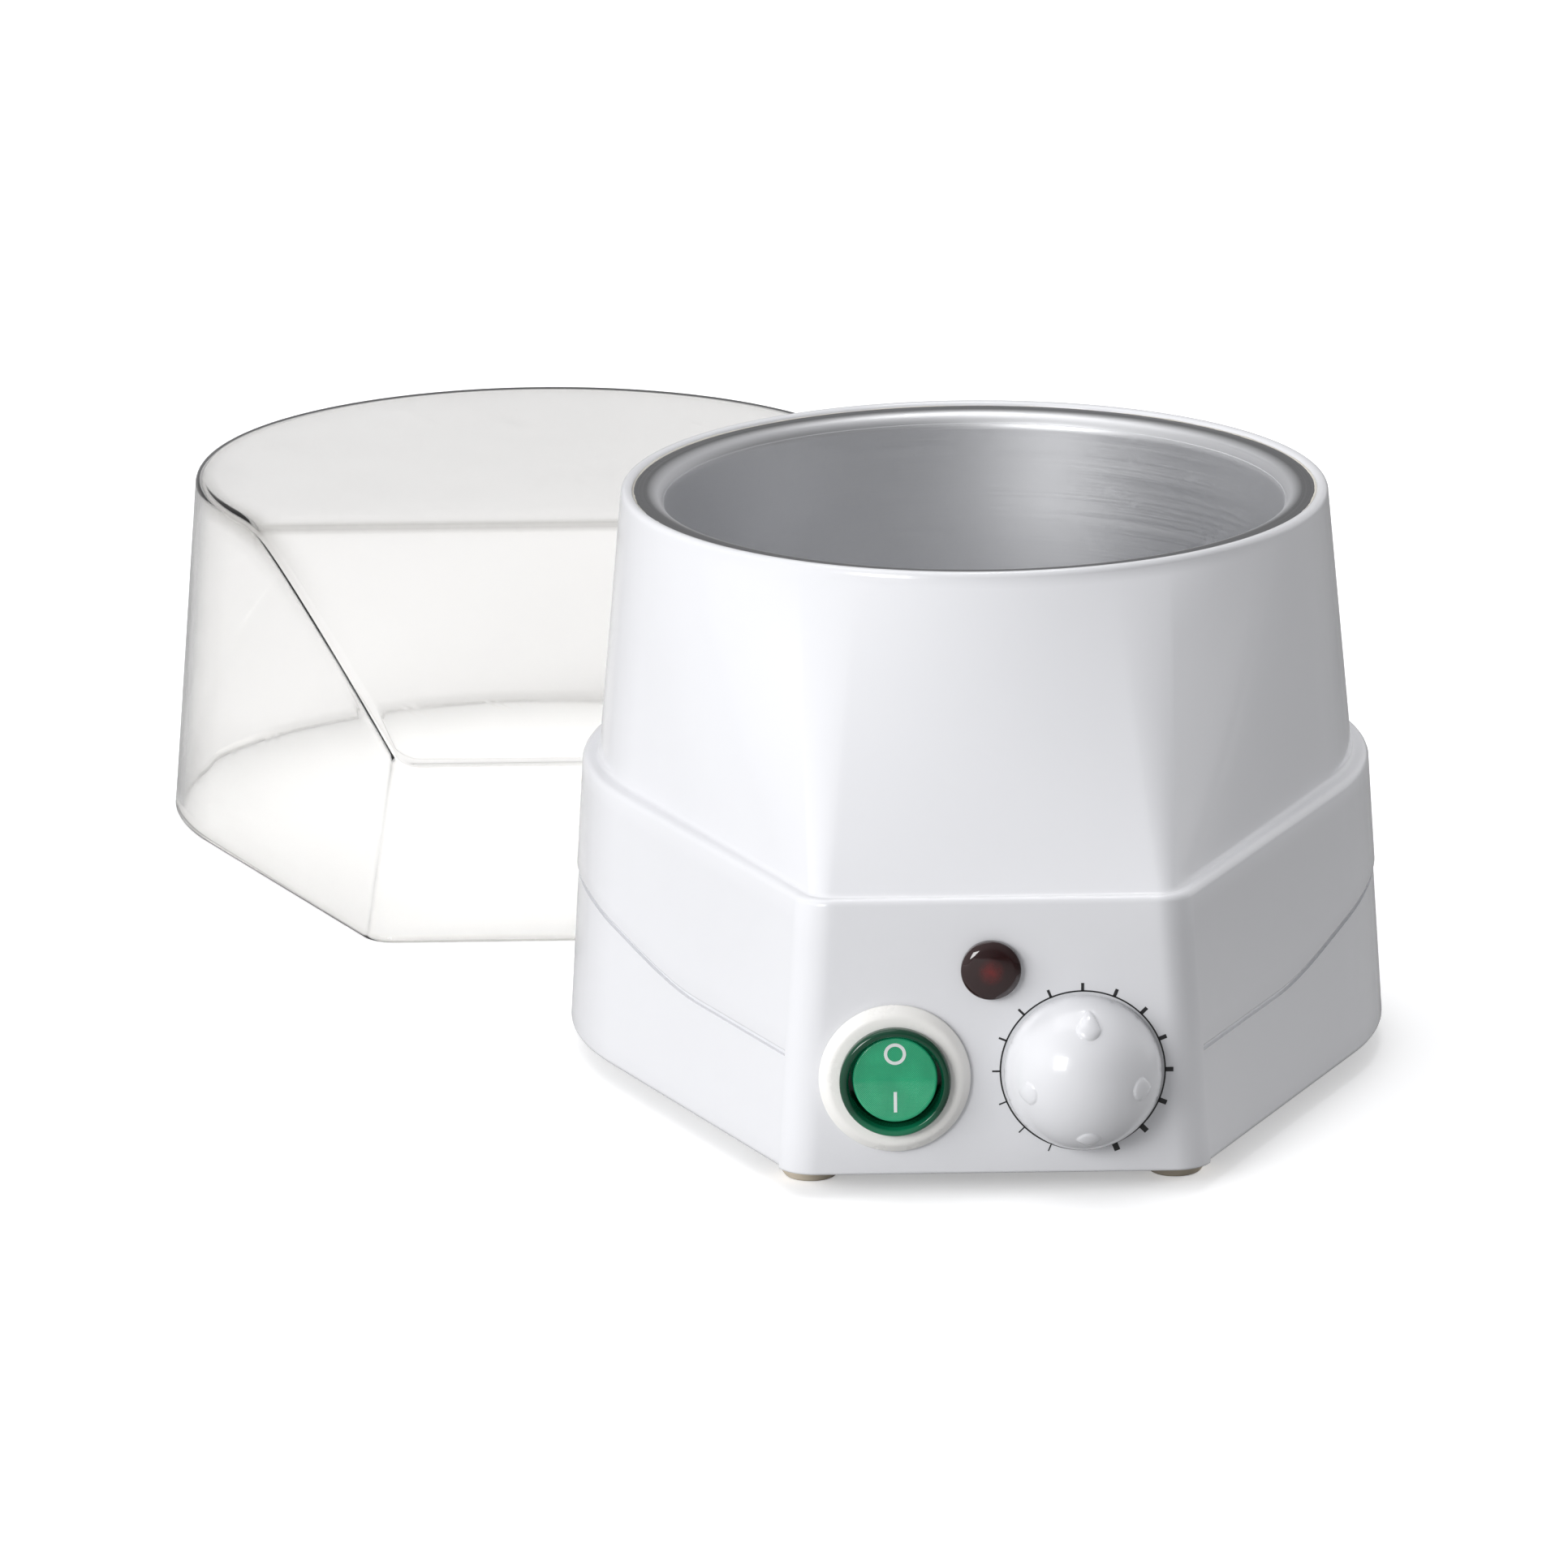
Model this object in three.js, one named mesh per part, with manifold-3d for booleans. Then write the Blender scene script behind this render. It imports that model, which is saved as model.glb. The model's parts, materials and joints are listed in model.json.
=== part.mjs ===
// Wax warmer pot: a round heating well in a two-part plastic body whose front is drawn out into a
// flat control nose, and a clear lift-off lid that stands beside it.
// Millimetres, +Z up. The origin is on the well's axis, on the underside of the base tray, and the
// control panel faces -Y.

import * as THREE from "three";
import { mergeVertices } from "three/addons/utils/BufferGeometryUtils.js";
import Module from "manifold-3d";

const wasm = await Module();
wasm.setup();

// ---------------------------------------------------------------- driving dimensions

// Body shell
const SKIRT_RADIUS = 92; // round back of the body at its underside
const SHOULDER_RADIUS = 88.3; // round back of the body at the ledge that carries the lid
const RIM_RADIUS = 79.3; // round rim at the top of the body
const NOSE_REACH = 126; // control panel's face in front of the well's axis
const NOSE_HALF_WIDTH = 45; // half of the panel's width at the underside, to its sharp corner
const NOSE_CORNER = 9; // radius of the panel's upright corners
const LEDGE_HEIGHT = 62.4; // ledge above the underside
const RIM_HEIGHT = 123.5; // top of the rim above the underside
const LEDGE_WIDTH = 3.7; // flat that the lid stands on, round the sides and the back
const NOSE_LEDGE_WIDTH = 2.6; // the same flat along the nose
const EDGE_ROUND = 1.5; // rounded outer edges of the shell
const WALL = 2.5; // shell wall
const RUN_GAP = 0.3; // clearance between pieces that sit against each other

// Seam between the upper housing and the base tray
const SEAM_BACK_HEIGHT = 35.5; // round the back and the widest part of the sides
const SEAM_FRONT_HEIGHT = 26; // along the flanks, up to the panel's corners
const SEAM_FALL_START = 8; // how far in front of the well's axis the seam starts to fall
const SEAM_FALL_END = 78; // and where it is level again
const SEAM_GAP = 0.8; // open groove between the two shells
const TRAY_RECESS = 0.4; // tray's face behind the housing's face
const TONGUE_RISE = 3; // tray's inner tongue above the seam
const TONGUE_WALL = 1.2;
const JOINT_STEP = 0.4; // upright joint between the tray and the panel's corner

// Heating well
const WELL_WALL = 1.2;
const RIM_LIP = 2.6; // white lip left outside the well's flange
const FLANGE_WIDTH = 6.9; // rolled flange, from its edge to the bore
const FLANGE_ROLL = 4; // radius that rolls the flange into the bore
const FLANGE_DROP = 0.8; // flange's top below the rim
const WELL_DEPTH = 88.5; // rim to well floor
const WELL_DRAFT = 1.2; // how much narrower the bore is at its floor
const WELL_FLOOR_ROUND = 8;
const GASKET_THICKNESS = 0.7;
const SHELF_THICKNESS = 2;

// Heater stack round and below the well
const HEATER_THICKNESS = 2.4;
const HEATER_RISE = 13; // band's lower edge above the well's floor
const HEATER_HEIGHT = 28;
const STRAP_THICKNESS = 0.6;
const STRAP_HEIGHT = 10;
const SLEEVE_THICKNESS = 1.8;
const SLEEVE_RISE = 8; // sleeve's lower edge above the well's floor
const BULB_RISE = 55; // bulb's middle above the well's floor
const FUSE_RISE = 67; // fuse's middle above the well's floor
const SLEEVE_HEIGHT = 38;
const STACK_GAP_WIDTH = 28; // the stack is open towards the nose over this width
const SHIELD_THICKNESS = 0.8;
const FLOOR_PAD_THICKNESS = 4.5;

// Controls on the panel: x across the panel, z above the underside
const SWITCH_X = -22;
const SWITCH_Z = 22.3;
const COLLAR_RADIUS = 16.6;
const COLLAR_RISE = 2.8;
const BEZEL_RADIUS = 12.2;
const BEZEL_RISE = 2.4;
const SWITCH_BARREL = 10.9;
const ROCKER_RADIUS = 9.5;
const ROCKER_CLEARANCE = 0.7;
const ROCKER_TILT = 8; // degrees each way from level
const ROCKER_PIVOT_DEPTH = 1; // pivot behind the panel's face
const SWITCH_DEPTH = 24;

const LAMP_X = -0.9;
const LAMP_Z = 46.6;
const LAMP_RADIUS = 6.6;
const LAMP_RISE = 3.4;
const LAMP_STEM = 4.6;

const KNOB_X = 19.1;
const KNOB_Z = 23.3;
const KNOB_RADIUS = 17.3;
const KNOB_RISE = 16.6;
const KNOB_PANEL_GAP = 0.8;
const BUMP_COUNT = 4;
const BUMP_RADIUS = 2.7;
const SHAFT_RADIUS = 3;
const SHAFT_CLEARANCE = 0.12;
const BUSH_RADIUS = 4.6;

// Standing and fastening
const FOOT_STAND = 5.1; // underside above the table
const FOOT_RADIUS = 7;
const FRONT_FOOT = [40, -108];
const REAR_FOOT = [64, 37];
const SCREW_RADIUS = 1.5;
const SCREW_HEAD_RADIUS = 3.3;
const BOSS_RADIUS = 3.6;
const FRONT_BOSS_REACH = 95; // front bosses in front of the well's axis
const FRONT_BOSS_INSET = 6.96; // flank's face at the ledge to a front boss's axis
const REAR_BOSS_INSET = 7; // rear bosses inside the shoulder's radius
const VENT_COUNT = 8;

// Lid, standing mouth down on the table behind and to the left of the pot
const LID_X = -96;
const LID_Y = 208;
const LID_HEIGHT = 80.3;
const LID_WALL = 1.8;
const LID_TOP_RADIUS = 81.6;
const LID_NOSE_DRAFT = 12; // how far each flank of the lid leans in at the height of its top
const LID_BAND_HEIGHT = 41.8; // upright band across the lid's nose
const LID_CHORD = 45.7; // front edge of the flat top, in front of the lid's axis
const LID_EDGE = 0.6; // lid's face inside the ledge's outer edge

// ---------------------------------------------------------------- values that follow from them

const LIP_INNER = RIM_RADIUS - RIM_LIP;
const FLANGE_OUTER = LIP_INNER - RUN_GAP;
const BORE = FLANGE_OUTER - FLANGE_WIDTH;
const WELL_OUTER = BORE + WELL_WALL;
const WELL_FLOOR = RIM_HEIGHT - WELL_DEPTH;
const WELL_UNDERSIDE = WELL_FLOOR - WELL_WALL;
const FLANGE_TOP = RIM_HEIGHT - FLANGE_DROP;
const FLANGE_BOTTOM = FLANGE_TOP - WELL_WALL;
const SHELF_TOP = FLANGE_BOTTOM - GASKET_THICKNESS - 2 * RUN_GAP;
const SHELF_INNER = WELL_OUTER + 1.3;

const HEATER_INNER = WELL_OUTER + RUN_GAP;
const HEATER_BOTTOM = WELL_FLOOR + HEATER_RISE;
const SLEEVE_BOTTOM = WELL_FLOOR + SLEEVE_RISE;
const STRAP_INNER = HEATER_INNER + HEATER_THICKNESS + RUN_GAP;
const SLEEVE_INNER = STRAP_INNER + STRAP_THICKNESS + RUN_GAP;
const FLOOR_PAD_TOP = WELL_UNDERSIDE - RUN_GAP;
const SHIELD_TOP = FLOOR_PAD_TOP - FLOOR_PAD_THICKNESS - RUN_GAP;
const POST_TOP = SHIELD_TOP - SHIELD_THICKNESS - RUN_GAP;

const PANEL_Y = -NOSE_REACH;
const TRAY_FLOOR = WALL;
const SCREW_PAD_TOP = 6;
const COLLAR_BORE = SWITCH_BARREL + RUN_GAP;
const SHAFT_BORE = SHAFT_RADIUS + SHAFT_CLEARANCE;

// ---------------------------------------------------------------- materials

function finish(color, roughness, metalness = 0) {
  return new THREE.MeshStandardMaterial({ color, roughness, metalness });
}

const MATERIALS = {
  shell: finish(0xeff0f3, 0.22),
  collar: finish(0xf3f2ee, 0.35),
  aluminium: finish(0xb4b8bc, 0.34, 1),
  steel: finish(0x9da1a6, 0.4, 1),
  brass: finish(0xb8954c, 0.35, 1),
  sealant: finish(0xdad6cc, 0.6),
  foot: finish(0xdccdb2, 0.75),
  insulation: finish(0xd8d2bf, 0.95),
  heater: finish(0xb0522f, 0.7),
  green: finish(0x108a55, 0.2),
  red: finish(0x3a0d10, 0.12),
  moulding: finish(0x26272a, 0.5),
  phenolic: finish(0x5a4030, 0.6),
  wire: finish(0x9c3b2c, 0.55),
  clear: finish(0xe6e9ea, 0.08),
};

// ---------------------------------------------------------------- solids

function weld(geometry) {
  const bare = geometry.clone();
  bare.deleteAttribute("normal");
  bare.deleteAttribute("uv");
  return mergeVertices(bare, 1e-4);
}

function solid(geometry) {
  const welded = weld(geometry);
  return new wasm.Manifold(
    new wasm.Mesh({
      numProp: 3,
      vertProperties: new Float32Array(welded.attributes.position.array),
      triVerts: new Uint32Array(welded.index.array),
    }),
  );
}

function geometryOf(manifold) {
  const mesh = manifold.getMesh();
  const geometry = new THREE.BufferGeometry();
  geometry.setAttribute("position", new THREE.BufferAttribute(mesh.vertProperties, 3));
  geometry.setIndex(new THREE.BufferAttribute(mesh.triVerts, 1));
  return geometry;
}

function piece(name, shape, material) {
  const geometry = shape.isBufferGeometry ? shape : geometryOf(shape);
  geometry.computeVertexNormals();
  const mesh = new THREE.Mesh(geometry, material);
  mesh.name = name;
  return mesh;
}

// Points on an arc from angle start to angle end, in degrees.
function arc(x, y, radius, start, end, steps) {
  return Array.from({ length: steps + 1 }, (_, k) => {
    const angle = THREE.MathUtils.degToRad(start + ((end - start) * k) / steps);
    return [x + radius * Math.cos(angle), y + radius * Math.sin(angle)];
  });
}

// A profile of [radius, height] points turned about the local Y axis. It runs up the outside, and
// it starts and ends on the axis or comes back to its first point.
function turned(profile, segments = 32) {
  const points = profile.map(([radius, height]) => new THREE.Vector2(radius, height));
  return new THREE.LatheGeometry(points, segments);
}

const UPRIGHT = new THREE.Matrix4().makeRotationX(Math.PI / 2);
const FORWARD = new THREE.Matrix4().makeRotationX(Math.PI);

// The same about the vertical axis, with its heights along +Z.
function turnedUp(profile, segments = 48) {
  return turned(profile, segments).applyMatrix4(UPRIGHT);
}

// The same about an axis square to the control panel: heights run out of the panel from its face.
function turnedOut(profile, x, z, segments = 32) {
  return turned(profile, segments).applyMatrix4(FORWARD).translate(x, PANEL_Y, z);
}

function post(x, y, bottom, top, radius, segments = 14) {
  return new THREE.CylinderGeometry(radius, radius, top - bottom, segments)
    .applyMatrix4(UPRIGHT)
    .translate(x, y, (bottom + top) / 2);
}

function pegOut(x, z, radius, from, to, segments = 32) {
  return new THREE.CylinderGeometry(radius, radius, to - from, segments)
    .translate(x, PANEL_Y - (from + to) / 2, z);
}

function block(width, depth, height, x, y, z) {
  return new THREE.BoxGeometry(width, depth, height).translate(x, y, z);
}

// A round-sectioned tube through a list of points.
function tube(points, radius, steps = 14, sides = 6) {
  const curve = new THREE.CatmullRomCurve3(points.map((p) => new THREE.Vector3(...p)));
  const section = new THREE.Shape();
  for (let k = 0; k < sides; k++) {
    const angle = (2 * Math.PI * k) / sides;
    const method = k === 0 ? "moveTo" : "lineTo";
    section[method](radius * Math.cos(angle), radius * Math.sin(angle));
  }
  section.closePath();
  return new THREE.ExtrudeGeometry(section, { steps, bevelEnabled: false, extrudePath: curve });
}

// Rings of equally many points, counter-clockwise from above, joined in order. A closed skin joins
// its last ring to its first; otherwise each end is a flat fan.
function skin(rings, closed) {
  const count = rings[0].length;
  const position = rings.flat().flatMap((point) => point);
  const index = [];
  const bands = closed ? rings.length : rings.length - 1;
  for (let k = 0; k < bands; k++) {
    const low = k * count;
    const high = ((k + 1) % rings.length) * count;
    for (let i = 0; i < count; i++) {
      const j = (i + 1) % count;
      index.push(low + i, low + j, high + j, low + i, high + j, high + i);
    }
  }
  if (!closed) {
    const top = (rings.length - 1) * count;
    for (let i = 1; i < count - 1; i++) {
      index.push(0, i + 1, i);
      index.push(top, top + i, top + i + 1);
    }
  }
  const geometry = new THREE.BufferGeometry();
  geometry.setAttribute("position", new THREE.Float32BufferAttribute(position, 3));
  geometry.setIndex(index);
  return geometry;
}

// ---------------------------------------------------------------- plan of the body

// The plan is a circle whose front is drawn out to a flat nose. Straight flanks run from the
// rounded corners of the nose and meet the circle in tangents. Every outline has its points at the
// same stations, so that any two can be skinned together.
const FRONT_STEPS = 4;
const CORNER_STEPS = 5;
const FLANK_STEPS = 6;
const ROUND_STEPS = 18;
const PANEL_END = FRONT_STEPS + CORNER_STEPS; // last station on the corner's curve
const HALF_STATIONS = PANEL_END + 2 + FLANK_STEPS + ROUND_STEPS;
const RING_STATIONS = 2 * HALF_STATIONS;

function flankAngle({ radius, halfWidth, reach }) {
  return Math.atan2(halfWidth, reach) + Math.acos(radius / Math.hypot(halfWidth, reach));
}

// Outline drawn in by a distance on every side.
function inset(plan, distance) {
  return {
    radius: plan.radius - distance,
    halfWidth: plan.halfWidth - distance * Math.tan(flankAngle(plan) / 2),
    reach: plan.reach - distance,
    corner: Math.max(plan.corner - distance, 0.6),
  };
}

function mirrored(half) {
  const left = half.slice(1, -1).reverse().map(([x, y]) => [-x, y]);
  return [...half, ...left];
}

// Fractions along a flank: two close stations for the upright joint, then even steps.
function flankFractions(length) {
  const joint = [JOINT_STEP / length, (2 * JOINT_STEP) / length];
  const even = Array.from({ length: FLANK_STEPS - 1 }, (_, k) => (k + 1) / FLANK_STEPS);
  return [...joint, ...even];
}

function outline(plan) {
  const angle = flankAngle(plan);
  const cornerX = plan.halfWidth - plan.corner * Math.tan(angle / 2);
  const cornerY = plan.corner - plan.reach;
  const half = [];
  for (let k = 0; k < FRONT_STEPS; k++) half.push([(cornerX * k) / FRONT_STEPS, -plan.reach]);
  for (let k = 0; k <= CORNER_STEPS; k++) {
    const turn = (angle * k) / CORNER_STEPS;
    half.push([cornerX + plan.corner * Math.sin(turn), cornerY - plan.corner * Math.cos(turn)]);
  }
  const [startX, startY] = half[half.length - 1];
  const endX = plan.radius * Math.sin(angle);
  const endY = -plan.radius * Math.cos(angle);
  for (const f of flankFractions(Math.hypot(endX - startX, endY - startY))) {
    half.push([startX + (endX - startX) * f, startY + (endY - startY) * f]);
  }
  for (let k = 0; k <= ROUND_STEPS; k++) {
    const turn = angle + ((Math.PI - angle) * k) / ROUND_STEPS;
    half.push([plan.radius * Math.sin(turn), -plan.radius * Math.cos(turn)]);
  }
  return mirrored(half);
}

// A circle with its points at the stations that fit the outline of a plan. The plan's corner runs
// out between these two angles, measured from the front.
const CREASE_INNER = THREE.MathUtils.degToRad(21);
const CREASE_OUTER = THREE.MathUtils.degToRad(31);

function circle(radius, plan) {
  const angle = flankAngle(plan);
  const turns = [];
  for (let k = 0; k < FRONT_STEPS; k++) turns.push((CREASE_INNER * k) / FRONT_STEPS);
  for (let k = 0; k <= CORNER_STEPS; k++) {
    turns.push(CREASE_INNER + ((CREASE_OUTER - CREASE_INNER) * k) / CORNER_STEPS);
  }
  for (const f of flankFractions(plan.reach - plan.radius / 2)) {
    turns.push(CREASE_OUTER + (angle - CREASE_OUTER) * f);
  }
  for (let k = 0; k <= ROUND_STEPS; k++) turns.push(angle + ((Math.PI - angle) * k) / ROUND_STEPS);
  return mirrored(turns.map((turn) => [radius * Math.sin(turn), -radius * Math.cos(turn)]));
}

function lift(points, height) {
  return points.map(([x, y], i) => [x, y, typeof height === "function" ? height(x, y, i) : height]);
}

function blend(low, high, amount) {
  return low.map((point, i) => point.map((value, axis) => value + (high[i][axis] - value) * amount));
}

// Plan of the body's skirt at a height: all of it draws in towards the ledge but the panel.
function skirt(height) {
  const drawn = ((SKIRT_RADIUS - SHOULDER_RADIUS) * height) / LEDGE_HEIGHT;
  return {
    radius: SKIRT_RADIUS - drawn,
    halfWidth: NOSE_HALF_WIDTH - 1.1 * drawn,
    reach: NOSE_REACH,
    corner: NOSE_CORNER,
  };
}

// Plan of the upper body where it rises from the ledge.
function coneFoot() {
  const shoulder = skirt(LEDGE_HEIGHT);
  return {
    radius: shoulder.radius - LEDGE_WIDTH,
    halfWidth: shoulder.halfWidth - LEDGE_WIDTH / 2,
    reach: shoulder.reach - NOSE_LEDGE_WIDTH,
    corner: NOSE_CORNER - LEDGE_WIDTH,
  };
}

// Station counted from the middle of the nose, the same on both sides.
function fromNose(i) {
  return Math.min(i, RING_STATIONS - i);
}

// The seam is level round the back, eases down where the sides turn into the flanks, and is level
// again along the flanks.
function seamHeight(y) {
  const fall = THREE.MathUtils.smoothstep(-y, SEAM_FALL_START, SEAM_FALL_END);
  return SEAM_BACK_HEIGHT - (SEAM_BACK_HEIGHT - SEAM_FRONT_HEIGHT) * fall;
}

// Skirt ring whose points follow a height of their own and are drawn in by a distance.
function skirtRing(height, drawnIn) {
  const level = outline(skirt(SEAM_BACK_HEIGHT / 2));
  const heights = level.map(([, y], i) => height(y, i));
  return heights.map((z, i) => {
    const [x, y] = outline(inset(skirt(z), drawnIn(i)))[i];
    return [x, y, z];
  });
}

// ---------------------------------------------------------------- body shells

// The front bosses keep their distance from the flanks where the skirt is narrowest, at the ledge.
function frontBoss() {
  const angle = flankAngle(skirt(LEDGE_HEIGHT));
  const across = SHOULDER_RADIUS - FRONT_BOSS_INSET - FRONT_BOSS_REACH * Math.cos(angle);
  return [across / Math.sin(angle), -FRONT_BOSS_REACH];
}

const REAR_BOSS = [
  (SHOULDER_RADIUS - REAR_BOSS_INSET) * Math.sin(Math.PI / 6),
  (SHOULDER_RADIUS - REAR_BOSS_INSET) * Math.cos(Math.PI / 6),
];

function leftAndRight([x, y]) {
  return [[x, y], [-x, y]];
}

const BOSSES = [...leftAndRight(frontBoss()), ...leftAndRight(REAR_BOSS)];
const FEET = [...leftAndRight(FRONT_FOOT), ...leftAndRight(REAR_FOOT)];

function upperHousing() {
  const shoulder = skirt(LEDGE_HEIGHT);
  const foot = coneFoot();
  const ledgeUnderside = LEDGE_HEIGHT - WALL;
  const bottom = (y, i) => (fromNose(i) > PANEL_END ? seamHeight(y) + SEAM_GAP / 2 : 0);
  const coneLow = lift(outline(foot), LEDGE_HEIGHT);
  const coneHigh = lift(circle(RIM_RADIUS, foot), RIM_HEIGHT - EDGE_ROUND);
  const innerFoot = inset(foot, WALL);
  const innerLow = lift(outline(innerFoot), ledgeUnderside);
  const shelfBottom = SHELF_TOP - SHELF_THICKNESS;
  const innerHigh = lift(circle(LIP_INNER, innerFoot), shelfBottom);
  const rings = [
    skirtRing(bottom, () => 0),
    lift(outline(skirt(LEDGE_HEIGHT - EDGE_ROUND)), LEDGE_HEIGHT - EDGE_ROUND),
    lift(outline(inset(shoulder, 0.3 * EDGE_ROUND)), LEDGE_HEIGHT - 0.3 * EDGE_ROUND),
    lift(outline(inset(shoulder, EDGE_ROUND)), LEDGE_HEIGHT),
    coneLow,
    ...[0.35, 0.7, 1].map((amount) => blend(coneLow, coneHigh, amount)),
    lift(circle(RIM_RADIUS - 0.4, foot), RIM_HEIGHT - 0.4),
    lift(circle(RIM_RADIUS - RIM_LIP / 2, foot), RIM_HEIGHT),
    lift(circle(LIP_INNER, foot), RIM_HEIGHT - 0.5),
    lift(circle(LIP_INNER, innerFoot), SHELF_TOP),
    lift(circle(SHELF_INNER, innerFoot), SHELF_TOP),
    lift(circle(SHELF_INNER, innerFoot), shelfBottom),
    innerHigh,
    ...[0.5, 1].map((amount) => blend(innerHigh, innerLow, amount)),
    lift(outline(inset(shoulder, WALL)), ledgeUnderside),
    skirtRing(bottom, () => WALL),
  ];
  let shell = solid(skin(rings, true));
  for (const [x, y] of BOSSES) {
    const boss = solid(post(x, y, SCREW_PAD_TOP + RUN_GAP, ledgeUnderside + 1, BOSS_RADIUS));
    const pilot = solid(post(x, y, SCREW_PAD_TOP, SCREW_PAD_TOP + 16, SCREW_RADIUS + 0.15, 12));
    shell = shell.add(boss).subtract(pilot);
  }
  const openings = [
    pegOut(SWITCH_X, SWITCH_Z, COLLAR_BORE, -2 * WALL, WALL),
    pegOut(LAMP_X, LAMP_Z, LAMP_STEM + RUN_GAP, -2 * WALL, WALL),
    pegOut(KNOB_X, KNOB_Z, BUSH_RADIUS + RUN_GAP, -2 * WALL, WALL),
  ];
  for (const opening of openings) shell = shell.subtract(solid(opening));
  return piece("upper_housing", shell, MATERIALS.shell);
}

function baseTray() {
  const behindPanel = WALL + RUN_GAP;
  const onPanel = (i) => fromNose(i) <= PANEL_END + 1;
  const drawn = (side, front) => (i) => (onPanel(i) ? front : side);
  const flangeTop = TRAY_FLOOR + 4;
  const level = (rise) => (y, i) => {
    if (onPanel(i)) return Math.min(flangeTop, flangeTop + rise);
    return seamHeight(y) + rise;
  };
  const tongueFace = behindPanel;
  const tongueBack = tongueFace + TONGUE_WALL;
  const wallBack = TRAY_RECESS + WALL;
  const flat = (height) => () => height;
  const rings = [
    skirtRing(flat(0), drawn(TRAY_RECESS + EDGE_ROUND, behindPanel + 0.5)),
    skirtRing(flat(0.3 * EDGE_ROUND), drawn(TRAY_RECESS + 0.3 * EDGE_ROUND, behindPanel)),
    skirtRing(flat(EDGE_ROUND), drawn(TRAY_RECESS, behindPanel)),
    skirtRing(level(-SEAM_GAP / 2), drawn(TRAY_RECESS, behindPanel)),
    skirtRing(level(-SEAM_GAP / 2 + 0.01), drawn(tongueFace, behindPanel + 0.01)),
    skirtRing(level(TONGUE_RISE), drawn(tongueFace + 0.02, behindPanel + 0.02)),
    skirtRing(level(TONGUE_RISE + 0.01), drawn(tongueBack, behindPanel + TONGUE_WALL)),
    skirtRing(level(-TONGUE_RISE), drawn(tongueBack + 0.02, tongueBack + 0.02)),
    skirtRing(level(-1.6 * TONGUE_RISE), drawn(wallBack + 0.02, tongueBack + 0.04)),
    skirtRing(flat(TRAY_FLOOR), drawn(wallBack + 0.04, tongueBack + 0.06)),
  ];
  let tray = solid(skin(rings, false));
  for (const [x, y] of BOSSES) {
    const pad = solid(post(x, y, TRAY_FLOOR / 2, SCREW_PAD_TOP, SCREW_HEAD_RADIUS + 2));
    const head = solid(post(x, y, -1, SCREW_PAD_TOP - 2, SCREW_HEAD_RADIUS + 0.5));
    const hole = solid(post(x, y, 0, SCREW_PAD_TOP + 1, SCREW_RADIUS + 0.4, 16));
    tray = tray.add(pad).subtract(head).subtract(hole);
  }
  for (const [x, y] of FEET) tray = tray.subtract(solid(post(x, y, -1, TRAY_FLOOR + 1, 2.4)));
  for (const [x, y] of shieldPosts()) {
    const column = solid(post(x, y, TRAY_FLOOR / 2, POST_TOP, 4));
    const pilot = solid(post(x, y, POST_TOP - 10, POST_TOP + 1, 1.4, 12));
    tray = tray.add(column).subtract(pilot);
  }
  for (let k = 0; k < VENT_COUNT; k++) {
    const slot = block(3, 16, 4 * WALL, 0, 0.34 * SKIRT_RADIUS, 0);
    tray = tray.subtract(solid(slot.rotateZ((2 * Math.PI * (k + 0.5)) / VENT_COUNT)));
  }
  const gland = new THREE.CylinderGeometry(GLAND_NECK + RUN_GAP, GLAND_NECK + RUN_GAP, 20, 32);
  tray = tray.subtract(solid(gland.translate(0, SKIRT_RADIUS, GLAND_HEIGHT)));
  return piece("base_tray", tray, MATERIALS.shell);
}

// ---------------------------------------------------------------- well and heater

function heatingWell() {
  const rollCentre = BORE + FLANGE_ROLL;
  const rollHeight = FLANGE_TOP - FLANGE_ROLL;
  const innerFoot = BORE - WELL_DRAFT;
  const outerFoot = innerFoot + WELL_WALL;
  const round = WELL_FLOOR_ROUND;
  const outerRound = round + WELL_WALL;
  const profile = [
    [0, WELL_UNDERSIDE],
    ...arc(outerFoot - outerRound, WELL_UNDERSIDE + outerRound, outerRound, -90, 0, 3),
    ...arc(rollCentre, rollHeight, FLANGE_ROLL - WELL_WALL, 180, 90, 3),
    [FLANGE_OUTER, FLANGE_BOTTOM],
    [FLANGE_OUTER, FLANGE_TOP - 0.3],
    [FLANGE_OUTER - 0.3, FLANGE_TOP],
    ...arc(rollCentre, rollHeight, FLANGE_ROLL, 90, 180, 4),
    ...arc(innerFoot - round, WELL_FLOOR + round, round, 0, -90, 3),
    [0, WELL_FLOOR],
  ];
  return piece("heating_well", turnedUp(profile), MATERIALS.aluminium);
}

function rimSeal() {
  const bottom = SHELF_TOP + RUN_GAP;
  const top = bottom + GASKET_THICKNESS;
  const inner = BORE + FLANGE_ROLL;
  const profile = [
    [inner, bottom],
    [FLANGE_OUTER, bottom],
    [FLANGE_OUTER, top],
    [inner, top],
    [inner, bottom],
  ];
  return piece("rim_seal", turnedUp(profile), MATERIALS.sealant);
}

// A band round the well, open towards the nose.
function openBand(inner, thickness, bottom, height, gapWidth) {
  const profile = [
    [inner, bottom],
    [inner + thickness, bottom],
    [inner + thickness, bottom + height],
    [inner, bottom + height],
    [inner, bottom],
  ];
  const gap = block(gapWidth, inner + 30, height + 2, 0, -(inner + 30) / 2, bottom + height / 2);
  return solid(turnedUp(profile)).subtract(solid(gap));
}

function heaterBand() {
  const gap = STACK_GAP_WIDTH / 2;
  const band = openBand(HEATER_INNER, HEATER_THICKNESS, HEATER_BOTTOM, HEATER_HEIGHT, gap);
  return piece("heater_band", band, MATERIALS.heater);
}

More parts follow.
